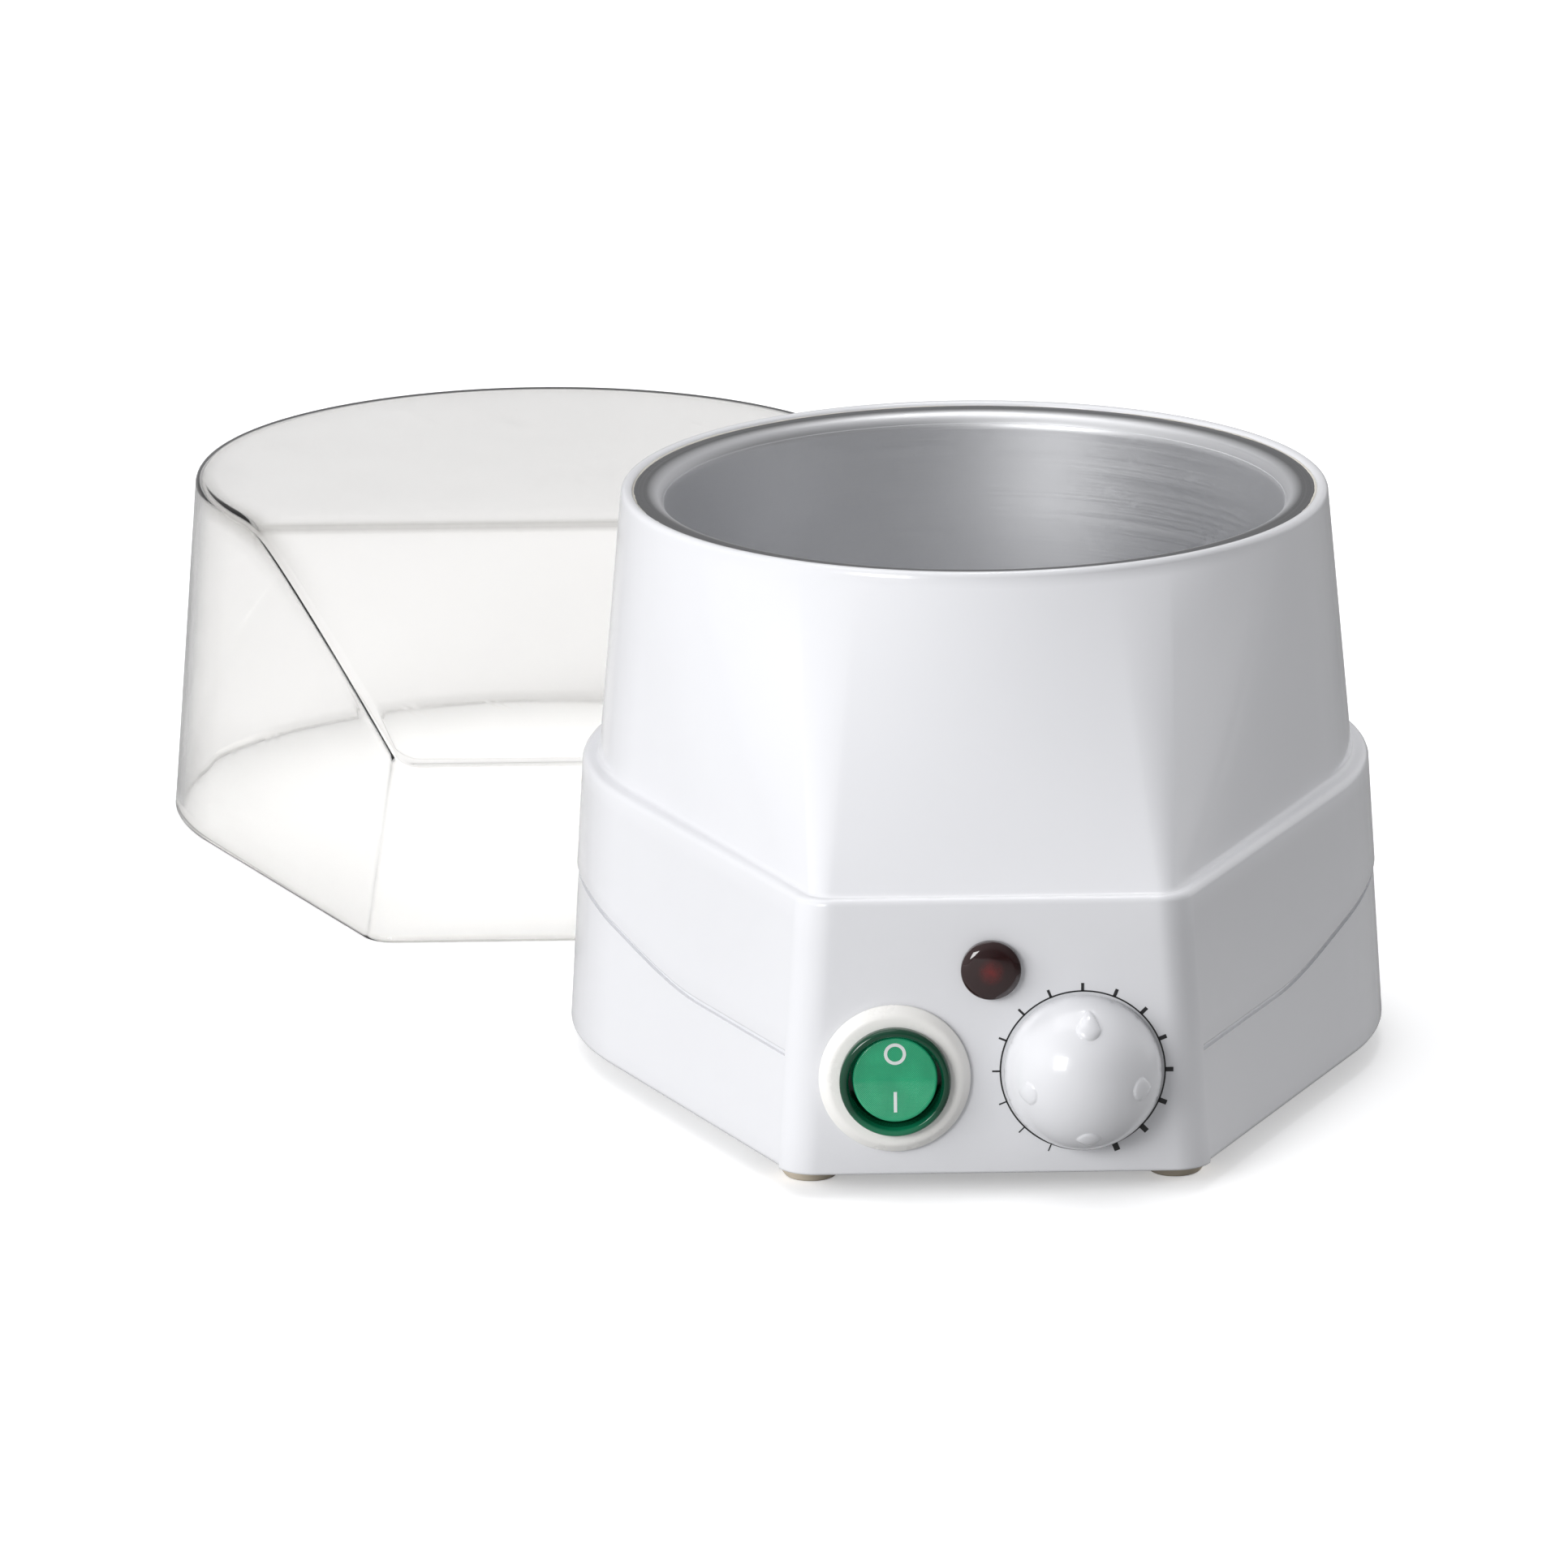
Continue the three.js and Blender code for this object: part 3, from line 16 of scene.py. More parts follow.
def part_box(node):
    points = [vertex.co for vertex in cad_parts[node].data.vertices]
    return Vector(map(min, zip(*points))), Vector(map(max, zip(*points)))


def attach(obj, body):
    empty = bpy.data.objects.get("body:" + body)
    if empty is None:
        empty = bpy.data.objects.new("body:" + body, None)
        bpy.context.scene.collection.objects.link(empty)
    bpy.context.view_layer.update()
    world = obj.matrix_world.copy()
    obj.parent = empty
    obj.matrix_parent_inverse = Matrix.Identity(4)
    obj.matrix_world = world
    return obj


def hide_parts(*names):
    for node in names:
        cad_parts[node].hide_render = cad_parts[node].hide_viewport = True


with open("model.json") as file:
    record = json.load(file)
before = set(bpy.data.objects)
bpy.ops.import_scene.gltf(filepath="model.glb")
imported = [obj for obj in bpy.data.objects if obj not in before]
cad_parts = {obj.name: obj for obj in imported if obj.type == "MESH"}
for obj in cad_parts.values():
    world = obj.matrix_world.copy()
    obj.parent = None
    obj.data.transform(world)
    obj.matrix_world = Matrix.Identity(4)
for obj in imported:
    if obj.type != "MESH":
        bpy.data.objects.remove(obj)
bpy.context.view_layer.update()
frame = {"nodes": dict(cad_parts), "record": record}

bl_info = {
    "name": "Wax Warmer Pot",
    "version": (1, 0, 0),
    "blender": (4, 5, 0),
    "location": "3D View > Sidebar > Wax Pot",
    "description": "Draws a wax warmer pot with its well, controls and clear lid",
    "category": "Add Mesh",
}

MM = 0.001
HOUSING_LOW, HOUSING_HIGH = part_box("upper_housing")
WELL_LOW, WELL_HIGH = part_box("heating_well")
SEAL_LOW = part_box("rim_seal")[0]
LID_LOW, LID_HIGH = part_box("lid")
GLAND_LOW, GLAND_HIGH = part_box("cord_gland")
FOOT_NAMES = [name for name in sorted(frame["nodes"]) if name.startswith("rubber_foot")]


def middle_of(name):
    low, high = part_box(name)
    return (low + high) / 2


SWITCH_AT = middle_of("switch_collar")
LAMP_AT = middle_of("lamp_lens")
KNOB_AT = middle_of("thermostat_shaft")
PANEL_Y = HOUSING_LOW.y
TABLE_Z = LID_LOW.z
LID_HEIGHT = LID_HIGH.z - LID_LOW.z
RUN_GAP = 0.3 * MM

# ------------------------------------------------------------------ sizes and colours


def length(name, description, default):
    return FloatProperty(name=name, description=description, default=default, unit="LENGTH",
                         precision=5)


def colour(name, description, default):
    return FloatVectorProperty(name=name, description=description, default=default,
                               subtype="COLOR", size=3, min=0.0, max=1.0)


class WAXPOT_BodySizes(bpy.types.PropertyGroup):
    """The two white shells."""

    skirt_radius: length("Skirt radius", "Round back at the underside", 92 * MM)
    shoulder_radius: length("Shoulder radius", "Round back at the ledge", 88.3 * MM)
    rim_radius: length("Rim radius", "Round rim at the top", 79.3 * MM)
    nose_half_width: length("Nose half width", "Half of the panel at the underside", 45 * MM)
    nose_corner: length("Nose corner", "Radius of the panel's upright corners", 9 * MM)
    ledge_height: length("Ledge height", "Ledge that carries the lid", 62.4 * MM)
    ledge_width: length("Ledge width", "Ledge round the sides and back", 3.7 * MM)
    nose_ledge_width: length("Nose ledge width", "Ledge along the nose", 2.6 * MM)
    ledge_fillet: length("Ledge fillet", "Hollow between the ledge and the cone", 1.0 * MM)
    edge_round: length("Edge round", "Rounded outer edges", 1.5 * MM)
    wall: length("Wall", "Thickness of the shells", 2.5 * MM)
    lip: length("Rim lip", "White lip outside the well's flange", 2.6 * MM)
    seam_back: length("Seam at the back", "Height of the seam round the back", 35.5 * MM)
    seam_front: length("Seam at the front", "Height of the seam along the flanks", 26 * MM)
    seam_gap: length("Seam gap", "Open groove between the shells", 1.1 * MM)


class WAXPOT_WellSizes(bpy.types.PropertyGroup):
    """The aluminium well and the bead that seals it."""

    flange_width: length("Flange width", "From the flange's edge to the bore", 6.9 * MM)
    flange_roll: length("Flange roll", "Radius that rolls the flange into the bore", 4 * MM)
    wall: length("Wall", "Thickness of the well", 1.2 * MM)
    draft: length("Draft", "How much narrower the bore is at its floor", 1.2 * MM)
    floor_round: length("Floor round", "Radius between the wall and the floor", 8 * MM)
    bead_width: length("Bead width", "Sealant that shows round the flange", 0.75 * MM)


class WAXPOT_ControlSizes(bpy.types.PropertyGroup):
    """Switch, lamp, dial and knob."""

    collar_radius: length("Collar radius", "White collar round the switch", 16.6 * MM)
    collar_rise: length("Collar rise", "Collar's face off the panel", 2.8 * MM)
    bezel_radius: length("Bezel radius", "Switch's round bezel", 12.2 * MM)
    bezel_rise: length("Bezel rise", "Bezel off the collar", 2.4 * MM)
    rocker_radius: length("Rocker radius", "Round rocker", 9.5 * MM)
    lamp_radius: length("Lamp radius", "Pilot lamp's head", 6.6 * MM)
    lamp_rise: length("Lamp rise", "Lamp's crown off the panel", 3.4 * MM)
    knob_radius: length("Knob radius", "Knob at its foot", 17.3 * MM)
    knob_rise: length("Knob rise", "Knob's crown off the panel", 16.6 * MM)
    knob_gap: length("Knob gap", "Knob's foot off the panel", 0.8 * MM)
    drop_radius: length("Drop radius", "Raised drops on the knob", 2.6 * MM)
    dial_radius: length("Dial radius", "Printed ring round the knob", 18.0 * MM)
    tick_length: length("Tick length", "Printed marks outside the ring", 1.8 * MM)


class WAXPOT_LidSizes(bpy.types.PropertyGroup):
    """The clear lid."""

    wall: length("Wall", "Thickness of the lid", 1.8 * MM)
    top_radius: length("Top radius", "Round back of the flat top", 81.6 * MM)
    band_height: length("Band height", "Upright band across the nose", 41.8 * MM)
    chord: length("Chord", "Front edge of the flat top, in front of its axis", 45.7 * MM)
    nose_draft: length("Nose draft", "How far each flank leans in at the top", 12 * MM)
    edge_inset: length("Edge inset", "Lid's face inside the ledge's edge", 0.6 * MM)
    edge_round: length("Edge round", "Rounded outer edges", 2.2 * MM)


class WAXPOT_Finishes(bpy.types.PropertyGroup):
    """Colours of the finishes."""

    shell: colour("Shell", "Glossy white of the two shells", (0.80, 0.805, 0.83))
    collar: colour("Collar", "Warmer white of the collar and gland", (0.93, 0.92, 0.89))
    aluminium: colour("Aluminium", "Spun well", (0.78, 0.785, 0.80))
    green: colour("Green", "Lighted switch", (0.008, 0.25, 0.115))
    red: colour("Red", "Pilot lamp", (0.14, 0.006, 0.006))
    foot: colour("Foot", "Cream rubber", (0.70, 0.62, 0.50))
    clear: colour("Clear", "Lid's plastic", (0.955, 0.95, 0.94))
    # Colour of the painted shade on the lid's edges, crease and mouth.
    painted_edge_colour: colour("Clear edge", "Depth of the lid's edges", (0.46, 0.45, 0.43))
    print: colour("Print", "Dial's ring and marks", (0.02, 0.02, 0.022))


GROUPS = {
    "waxpot_body": WAXPOT_BodySizes,
    "waxpot_well": WAXPOT_WellSizes,
    "waxpot_controls": WAXPOT_ControlSizes,
    "waxpot_lid": WAXPOT_LidSizes,
    "waxpot_finishes": WAXPOT_Finishes,
}

# ------------------------------------------------------------------ meshes


CRISP = 35
WELD = 1e-6


def grid_faces(rows, columns, first=0, wrap=True):
    """Quads between neighbouring rows of a grid; wrap closes each row on itself."""
    row = first + columns * np.arange(rows - 1)[:, None]
    here = np.arange(columns if wrap else columns - 1)[None, :]
    beside = (here + 1) % columns
    quads = [row + here, row + beside, row + columns + beside, row + columns + here]
    return np.stack(quads, -1).reshape(-1, 4)


def surface(name, points, faces, sharp=CRISP, painted_edge_shade=None):
    """A welded mesh object of the points and faces, with edges over the angle, in degrees, kept
    crisp. The painted edge shade is a number at each point for the material to read."""
    mesh = bpy.data.meshes.new(name)
    mesh.from_pydata(points.reshape(-1, 3).tolist(), [], faces.tolist())
    if painted_edge_shade is not None:
        tone = mesh.attributes.new("painted_edge_shade", "FLOAT", "POINT")
        tone.data.foreach_set("value", painted_edge_shade.astype(np.float32))
    edit = bmesh.new()
    edit.from_mesh(mesh)
    bmesh.ops.remove_doubles(edit, verts=edit.verts, dist=WELD)
    bmesh.ops.dissolve_degenerate(edit, edges=edit.edges, dist=WELD / 10)
    bmesh.ops.recalc_face_normals(edit, faces=edit.faces)
    edit.to_mesh(mesh)
    edit.free()
    mesh.shade_smooth()
    mesh.set_sharp_from_angle(angle=math.radians(sharp))
    piece = bpy.data.objects.new(name, mesh)
    bpy.context.scene.collection.objects.link(piece)
    return piece


def skin(name, rows, closed, sharp=CRISP):
    """Rings of equally many points joined in order. A closed skin joins its last ring to its first;
    an open one ends in a point or in a fan over each end ring."""
    rows = np.asarray(rows)
    if closed:
        rows = np.concatenate([rows, rows[:1]])
    else:
        ends = [np.broadcast_to(rows[k].mean(0), rows[k].shape)[None] for k in (0, -1)]
        rows = np.concatenate([ends[0], rows, ends[1]])
    return surface(name, rows, grid_faces(*rows.shape[:2]), sharp)


def rounded(corners, steps=6):
    """A path through (radius, height, fillet) corners, each replaced by a tangent arc of its fillet
    radius, worked out by turning evenly about the arc's centre."""
    path = []
    for k, (radius, height, fillet) in enumerate(corners):
        here = np.array([radius, height])
        if not fillet:
            path.append(here)
            continue
        sides = [np.array(corners[(k + step) % len(corners)][:2]) - here for step in (-1, 1)]
        back, on = (side / np.linalg.norm(side) for side in sides)
        half = math.acos(np.clip(back @ on, -1, 1)) / 2
        bisector = (back + on) / np.linalg.norm(back + on)
        centre = here + bisector * fillet / math.sin(half)
        start, end = (here + side * fillet / math.tan(half) - centre for side in (back, on))
        sweep = math.pi - 2 * half
        share = np.linspace(0, 1, steps + 1)[:, None]
        arc = np.sin((1 - share) * sweep) * start + np.sin(share * sweep) * end
        path.extend(centre + arc / math.sin(sweep))
    return np.array(path)


def turned(profile, segments):
    """(rows, segments, 3) points of a (radius, height) path turned about the Z axis."""
    profile = np.asarray(profile)
    angle = np.arange(segments) * 2 * math.pi / segments
    radius = profile[:, :1]
    height = np.broadcast_to(profile[:, 1:], (len(profile), segments))
    return np.stack([radius * np.cos(angle), radius * np.sin(angle), height], -1)


def out_of_panel(points, at):
    """Turns heights along +Z into heights out of the panel's face, about a point's x and z."""
    return np.stack([at.x + points[..., 0], PANEL_Y - points[..., 2], at.z + points[..., 1]], -1)


def cut(piece, cutters):
    """Takes the cutters' solids out of the piece and removes the cutters."""
    for cutter in cutters:
        boolean = piece.modifiers.new("cut", "BOOLEAN")
        boolean.operation = "DIFFERENCE"
        boolean.solver = "EXACT"
        boolean.object = cutter
    bpy.context.view_layer.update()
    graph = bpy.context.evaluated_depsgraph_get()
    whole = bpy.data.meshes.new_from_object(piece.evaluated_get(graph))
    piece.modifiers.clear()
    piece.data = whole
    piece.data.set_sharp_from_angle(angle=math.radians(CRISP))
    for cutter in cutters:
        bpy.data.objects.remove(cutter)
    return piece


def rod(radius, low, high, segments):
    """Points of a cylinder about the Z axis between two heights."""
    return turned([(radius, low), (radius, high)], segments)


def dress(piece, material, body, slot, *nodes):
    """Gives a piece its material and the body it rides on, and hides the CAD nodes it stands for; its
    slot is not used.
    """
    piece.data.materials.clear()
    piece.data.materials.append(material)
    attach(piece, body)
    if nodes:
        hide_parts(*nodes)
    return piece


# ------------------------------------------------------------------ plan of the body

Plan = namedtuple("Plan", "radius half_width reach corner")

FRONT_STEPS = 30
CORNER_STEPS = 16
FLANK_STEPS = 40
ROUND_STEPS = 90
PANEL_END = FRONT_STEPS + CORNER_STEPS
HALF_STATIONS = PANEL_END + 2 + FLANK_STEPS + ROUND_STEPS
JOINT_STEP = 0.4 * MM
LEAST_CORNER = 0.6 * MM
CREASE_INNER = math.radians(21)
CREASE_OUTER = math.radians(31)
NOSE_DRAW = 1.1
SEAM_FALL_START = 8 * MM
SEAM_FALL_END = 78 * MM
STATION = np.arange(2 * HALF_STATIONS)
FROM_NOSE = np.minimum(STATION, 2 * HALF_STATIONS - STATION)


def flank_angle(plan):
    """Angle of the flank's normal from -Y: the straight flank is tangent to the circle."""
    far = math.hypot(plan.half_width, plan.reach)
    return math.atan2(plan.half_width, plan.reach) + math.acos(plan.radius / far)


def inset(plan, distance):
    """The plan drawn in by a distance on every side."""
    return Plan(
        plan.radius - distance,
        plan.half_width - distance * math.tan(flank_angle(plan) / 2),
        plan.reach - distance,
        max(plan.corner - distance, LEAST_CORNER),
    )


def flank_shares(flank):
    """Shares along a flank: two close stations for the upright joint, then even steps."""
    close = np.array([1, 2]) * JOINT_STEP / flank
    return np.concatenate([close, np.arange(1, FLANK_STEPS) / FLANK_STEPS])


def mirrored(half):
    """Stations of one half, then their mirror images on the way back to the first."""
    return np.concatenate([half, half[-2:0:-1] * (-1, 1)])


def outline(plan):
    """Stations round the plan. One half runs straight from the middle of the nose, round the
    corner's arc, straight along the flank and round the circle's arc to the middle of the back;
    the other half is its mirror image."""
    angle = flank_angle(plan)
    corner = np.array([plan.half_width - plan.corner * math.tan(angle / 2), plan.corner - plan.reach])
    front = np.zeros((FRONT_STEPS, 2))
    front[:, 0] = corner[0] * np.arange(FRONT_STEPS) / FRONT_STEPS
    front[:, 1] = -plan.reach
    turn = np.linspace(0, angle, CORNER_STEPS + 1)[:, None]
    bend = corner + plan.corner * np.hstack([np.sin(turn), -np.cos(turn)])
    end = plan.radius * np.array([math.sin(angle), -math.cos(angle)])
    share = flank_shares(np.linalg.norm(end - bend[-1]))[:, None]
    flank = bend[-1] + (end - bend[-1]) * share
    turn = np.linspace(angle, math.pi, ROUND_STEPS + 1)[:, None]
    back = plan.radius * np.hstack([np.sin(turn), -np.cos(turn)])
    return mirrored(np.concatenate([front, bend, flank, back]))


def circle(radius, plan):
    """A circle whose stations face those of the plan's outline; the plan's corner opens out between
    the two crease angles."""
    angle = flank_angle(plan)
    turns = np.concatenate([
        CREASE_INNER * np.arange(FRONT_STEPS) / FRONT_STEPS,
        np.linspace(CREASE_INNER, CREASE_OUTER, CORNER_STEPS + 1),
        CREASE_OUTER + (angle - CREASE_OUTER) * flank_shares(plan.reach - plan.radius / 2),
        np.linspace(angle, math.pi, ROUND_STEPS + 1),
    ])[:, None]
    return mirrored(radius * np.hstack([np.sin(turns), -np.cos(turns)]))


def lift(points, height):
    """Plan points put at a height, or each at its own."""
    return np.column_stack([points, np.broadcast_to(height, len(points))])


def skirt(body, height):
    """Plan of the skirt at a height: all of it draws in towards the ledge but the panel."""
    drawn = (body.skirt_radius - body.shoulder_radius) * height / body.ledge_height
    return Plan(body.skirt_radius - drawn, body.nose_half_width - NOSE_DRAW * drawn, -PANEL_Y,
                body.nose_corner)


def skirt_row(body, height, inward):
    """Stations at their own heights, each on the straight line between the outlines at the
    underside and at the ledge."""
    low = outline(inset(skirt(body, 0), inward))
    high = outline(inset(skirt(body, body.ledge_height), inward))
    height = np.broadcast_to(height, len(low))
    return lift(low + (high - low) * (height / body.ledge_height)[:, None], height)


def cone_foot(body):
    """Plan of the cone where it rises from the ledge."""
    shoulder = skirt(body, body.ledge_height)
    return Plan(
        shoulder.radius - body.ledge_width,
        shoulder.half_width - body.ledge_width / 2,
        shoulder.reach - body.nose_ledge_width,
        body.nose_corner - body.ledge_width,
    )


def seam_height(body, y):
    """The seam is level round the back, eases down in an S where the sides turn into the flanks,
    and is level again along the flanks."""
    share = np.clip((-y - SEAM_FALL_START) / (SEAM_FALL_END - SEAM_FALL_START), 0, 1)
    return body.seam_back - (body.seam_back - body.seam_front) * share**2 * (3 - 2 * share)


# ------------------------------------------------------------------ node helpers


def feed(node, inputs):
    """Sets each input of a node to a value, or links it from an output."""
    for key, value in inputs.items():
        if isinstance(value, bpy.types.NodeSocket):
            node.id_data.links.new(value, node.inputs[key])
        else:
            node.inputs[key].default_value = value
    return node


def add(tree, kind, inputs=None, **settings):
    """A node with its settings and its inputs fed."""
    made = tree.nodes.new(kind)
    for key, value in settings.items():
        setattr(made, key, value)
    return feed(made, inputs or {})


def maths(tree, operation, *values, clamp=False):
    inputs = dict(enumerate(values))
    return add(tree, "ShaderNodeMath", inputs, operation=operation, use_clamp=clamp).outputs[0]


def mixed(tree, share, first, second):
    """Colour mixed from the first to the second."""
    inputs = {0: share, 6: first, 7: second}
    return add(tree, "ShaderNodeMix", inputs, data_type="RGBA").outputs[2]


def ranged(tree, value, low, high, to_low, to_high):
    inputs = {0: value, 1: low, 2: high, 3: to_low, 4: to_high}
    return add(tree, "ShaderNodeMapRange", inputs).outputs[0]


def noise(tree, vector, scale, detail, roughness=0.5):
    inputs = {"Vector": vector, "Scale": scale, "Detail": detail, "Roughness": roughness}
    return add(tree, "ShaderNodeTexNoise", inputs).outputs["Fac"]


def from_line(tree, vector, axes):
    """A vector with two of its parts kept, and their distance from the line along the third."""
    parts = add(tree, "ShaderNodeSeparateXYZ", {0: vector}).outputs
    flat = add(tree, "ShaderNodeCombineXYZ", {0: parts[axes[0]], 1: parts[axes[1]]}).outputs[0]
    return flat, add(tree, "ShaderNodeVectorMath", {0: flat}, operation="LENGTH").outputs["Value"]


def effect(name, sockets, outputs):
    """An empty node group with its named inputs and outputs, and its two end nodes."""
    tree = bpy.data.node_groups.new(name, "ShaderNodeTree")
    for label, kind, default in sockets:
        socket = tree.interface.new_socket(label, in_out="INPUT", socket_type=kind)
        if default is not None:
            socket.default_value = default
    for label, kind in outputs:
        tree.interface.new_socket(label, in_out="OUTPUT", socket_type=kind)
    return tree, tree.nodes.new("NodeGroupInput").outputs, tree.nodes.new("NodeGroupOutput")


VECTOR, COLOUR, FLOAT = "NodeSocketVector", "NodeSocketColor", "NodeSocketFloat"


def moulded_surface():
    """Moulded plastic or rubber: broad shifts of tone, patches that are more or less polished, and
    a fine orange-peel height."""
    tree, given, out = effect(
        "Moulded Surface",
        [("Vector", VECTOR, None), ("Color", COLOUR, (0.8, 0.8, 0.8, 1)), ("Tone", FLOAT, 0.03),
         ("Roughness", FLOAT, 0.2), ("Polish", FLOAT, 0.05), ("Grain Scale", FLOAT, 900.0)],
        [("Color", COLOUR), ("Roughness", FLOAT), ("Height", FLOAT)],
    )
    broad = noise(tree, given["Vector"], 14.0, 3.0)
    patches = noise(tree, given["Vector"], 55.0, 5.0, 0.6)
    grain = noise(tree, given["Vector"], given["Grain Scale"], 2.0)
    share = maths(tree, "MULTIPLY", ranged(tree, broad, 0.3, 0.7, 0.0, 1.0), given["Tone"])
    darker = add(tree, "ShaderNodeHueSaturation", {"Value": 0.0, "Color": given["Color"]})
    shift = ranged(tree, patches, 0.35, 0.65, -1.0, 1.0)
    rough = maths(tree, "MULTIPLY_ADD", shift, given["Polish"], given["Roughness"], clamp=True)
    toned = mixed(tree, share, given["Color"], darker.outputs[0])
    feed(out, {"Color": toned, "Roughness": rough, "Height": grain})
    return tree


def turned_metal():
    """Metal spun on a lathe: marks that run round the axis and broad cloudiness."""
    tree, given, out = effect(
        "Turned Metal",
        [("Vector", VECTOR, None), ("Color", COLOUR, (0.5, 0.5, 0.5, 1)), ("Roughness", FLOAT, 0.3),
         ("Marks", FLOAT, 0.12), ("Fineness", FLOAT, 2200.0)],
        [("Color", COLOUR), ("Roughness", FLOAT), ("Height", FLOAT)],
    )
    flat, radius = from_line(tree, given["Vector"], (0, 1))
    height = add(tree, "ShaderNodeSeparateXYZ", {0: given["Vector"]}).outputs[2]
    around = add(tree, "ShaderNodeVectorMath", {0: flat}, operation="NORMALIZE").outputs[0]
    ring = add(tree, "ShaderNodeSeparateXYZ", {0: around}).outputs
    across = maths(tree, "MULTIPLY", maths(tree, "ADD", radius, height), given["Fineness"])
    along = add(tree, "ShaderNodeCombineXYZ", {0: ring[0], 1: ring[1], 2: across}).outputs[0]
    marks = noise(tree, along, 1.0, 4.0, 0.65)
    cloud = noise(tree, given["Vector"], 24.0, 3.0)
    hazed = maths(tree, "MULTIPLY_ADD", ranged(tree, marks, 0.3, 0.7, -1.0, 1.0), given["Marks"],
                  ranged(tree, cloud, 0.3, 0.7, 0.0, 0.10))
    pale = mixed(tree, hazed, given["Color"], (0.9, 0.9, 0.9, 1))
    rough = maths(tree, "MULTIPLY_ADD", ranged(tree, marks, 0.3, 0.7, -0.5, 0.8), given["Marks"],
                  given["Roughness"], clamp=True)
    feed(out, {"Color": pale, "Roughness": rough, "Height": marks})
    return tree


def fine_scratches():
    """Hairline scratches in two leaning directions, and smudges, which make a surface rougher."""
    tree, given, out = effect(
        "Fine Scratches",
        [("Vector", VECTOR, None), ("Scale", FLOAT, 60.0), ("Roughness", FLOAT, 0.1),
         ("Wear", FLOAT, 0.1)],
        [("Roughness", FLOAT)],
    )
    masks = []
    for turn, stretch in ((0.7, (1.0, 14.0, 5.0)), (-0.5, (11.0, 1.2, 7.0))):
        leaned = add(tree, "ShaderNodeVectorRotate", {"Vector": given["Vector"], "Angle": turn})
        drawn = add(tree, "ShaderNodeVectorMath", {0: leaned.outputs[0], 1: stretch},
                    operation="MULTIPLY")
        line = noise(tree, drawn.outputs[0], given["Scale"], 3.0, 0.55)
        masks.append(ranged(tree, line, 0.62, 0.70, 0.0, 1.0))
    smudge = ranged(tree, noise(tree, given["Vector"], 30.0, 4.0), 0.45, 0.7, 0.0, 0.6)
    mask = maths(tree, "MAXIMUM", maths(tree, "MAXIMUM", *masks), smudge)
    rough = maths(tree, "MULTIPLY_ADD", mask, given["Wear"], given["Roughness"], clamp=True)
    feed(out, {"Roughness": rough})
    return tree


def grouped(tree, builder, name, inputs):
    """The outputs of an effect placed in a material; the effect is built once."""
    effect_tree = bpy.data.node_groups.get(name) or builder()
    return add(tree, "ShaderNodeGroup", node_tree=effect_tree, inputs=inputs).outputs


def moulded_look(tree, where, rgb, tone, roughness, polish, grain):
    """The colour, roughness and height of a moulded surface."""
    return grouped(tree, moulded_surface, "Moulded Surface", {
        "Vector": where, "Color": opaque(rgb), "Tone": tone, "Roughness": roughness,
        "Polish": polish, "Grain Scale": grain,
    })


def scratched(tree, where, scale, roughness, wear):
    """A roughness that scratches and smudges raise."""
    return grouped(tree, fine_scratches, "Fine Scratches", {
        "Vector": where, "Scale": scale, "Roughness": roughness, "Wear": wear,
    })["Roughness"]


def finished_before(name):
    """The finish of that name, if an operator has made it already."""
    return bpy.data.materials.get(f"{name}_finish")


def blank(name):
    """A new material: its tree, its Principled shader and the piece's own coordinates."""
    material = bpy.data.materials.new(f"{name}_finish")
    material.use_nodes = True
    tree = material.node_tree
    shader = tree.nodes["Principled BSDF"]
    return material, tree, shader, tree.nodes.new("ShaderNodeTexCoord").outputs["Object"]


def bumped(tree, height, depth):
    """A normal that a height of the given depth tilts."""
    inputs = {"Height": height, "Strength": 1.0, "Distance": depth}
    return add(tree, "ShaderNodeBump", inputs).outputs[0]


def opaque(rgb):
    return (*rgb, 1.0)


# ------------------------------------------------------------------ finishes


def moulded(name, rgb, roughness, tone=0.04, polish=0.05, grain=900.0, depth=0.00001, coat=0.0):
    """A moulded finish: plastic, rubber, silicone, sleeve or board."""
    made = finished_before(name)
    if made:
        return made
    material, tree, shader, where = blank(name)
    out = moulded_look(tree, where, rgb, tone, roughness, polish, grain)
    feed(shader, {
        "Base Color": out["Color"], "Roughness": out["Roughness"],
        "Normal": bumped(tree, out["Height"], depth), "Coat Weight": coat, "Coat Roughness": 0.06,
    })
    return material


def metal(name, rgb, roughness, marks=0.12, fineness=2200.0, painted_shade_beyond=0.0):
    """A turned or drawn metal. Beyond a distance from the Z axis, if one is given, its colour is
    darkened: painted shade that stands in for the dark reflections there.
    """
    made = finished_before(name)
    if made:
        return made
    material, tree, shader, where = blank(name)
    out = grouped(tree, turned_metal, "Turned Metal", {
        "Vector": where, "Color": opaque(rgb), "Roughness": roughness, "Marks": marks,
        "Fineness": fineness,
    })
    tint = out["Color"]
    # Painted shade: beyond the distance the colour darkens to a quarter, standing in for the dark
    # reflections on the well's flange.
    if painted_shade_beyond:
        far = from_line(tree, where, (0, 1))[1]
        painted_shade_share = ranged(tree, far, painted_shade_beyond - 1.5 * MM, painted_shade_beyond + 1.0 * MM, 0.0, 1.0)
        tint = mixed(tree, painted_shade_share, tint, opaque(0.25 * value for value in rgb))
    feed(shader, {
        "Base Color": tint, "Roughness": scratched(tree, where, 90.0, out["Roughness"], 0.08),
        "Normal": bumped(tree, out["Height"], 0.008 * MM), "Metallic": 1.0,
    })
    return material


def shell_white(finishes):
    return moulded("shell_white", finishes.shell, 0.22, 0.03, 0.03, 700.0, 0.000006, 0.45)


def trim_white(finishes):
    return moulded("trim_white", finishes.collar, 0.30, 0.05, 0.06, 1200.0, 0.00001)


LENS_PITCH = 0.42 * MM


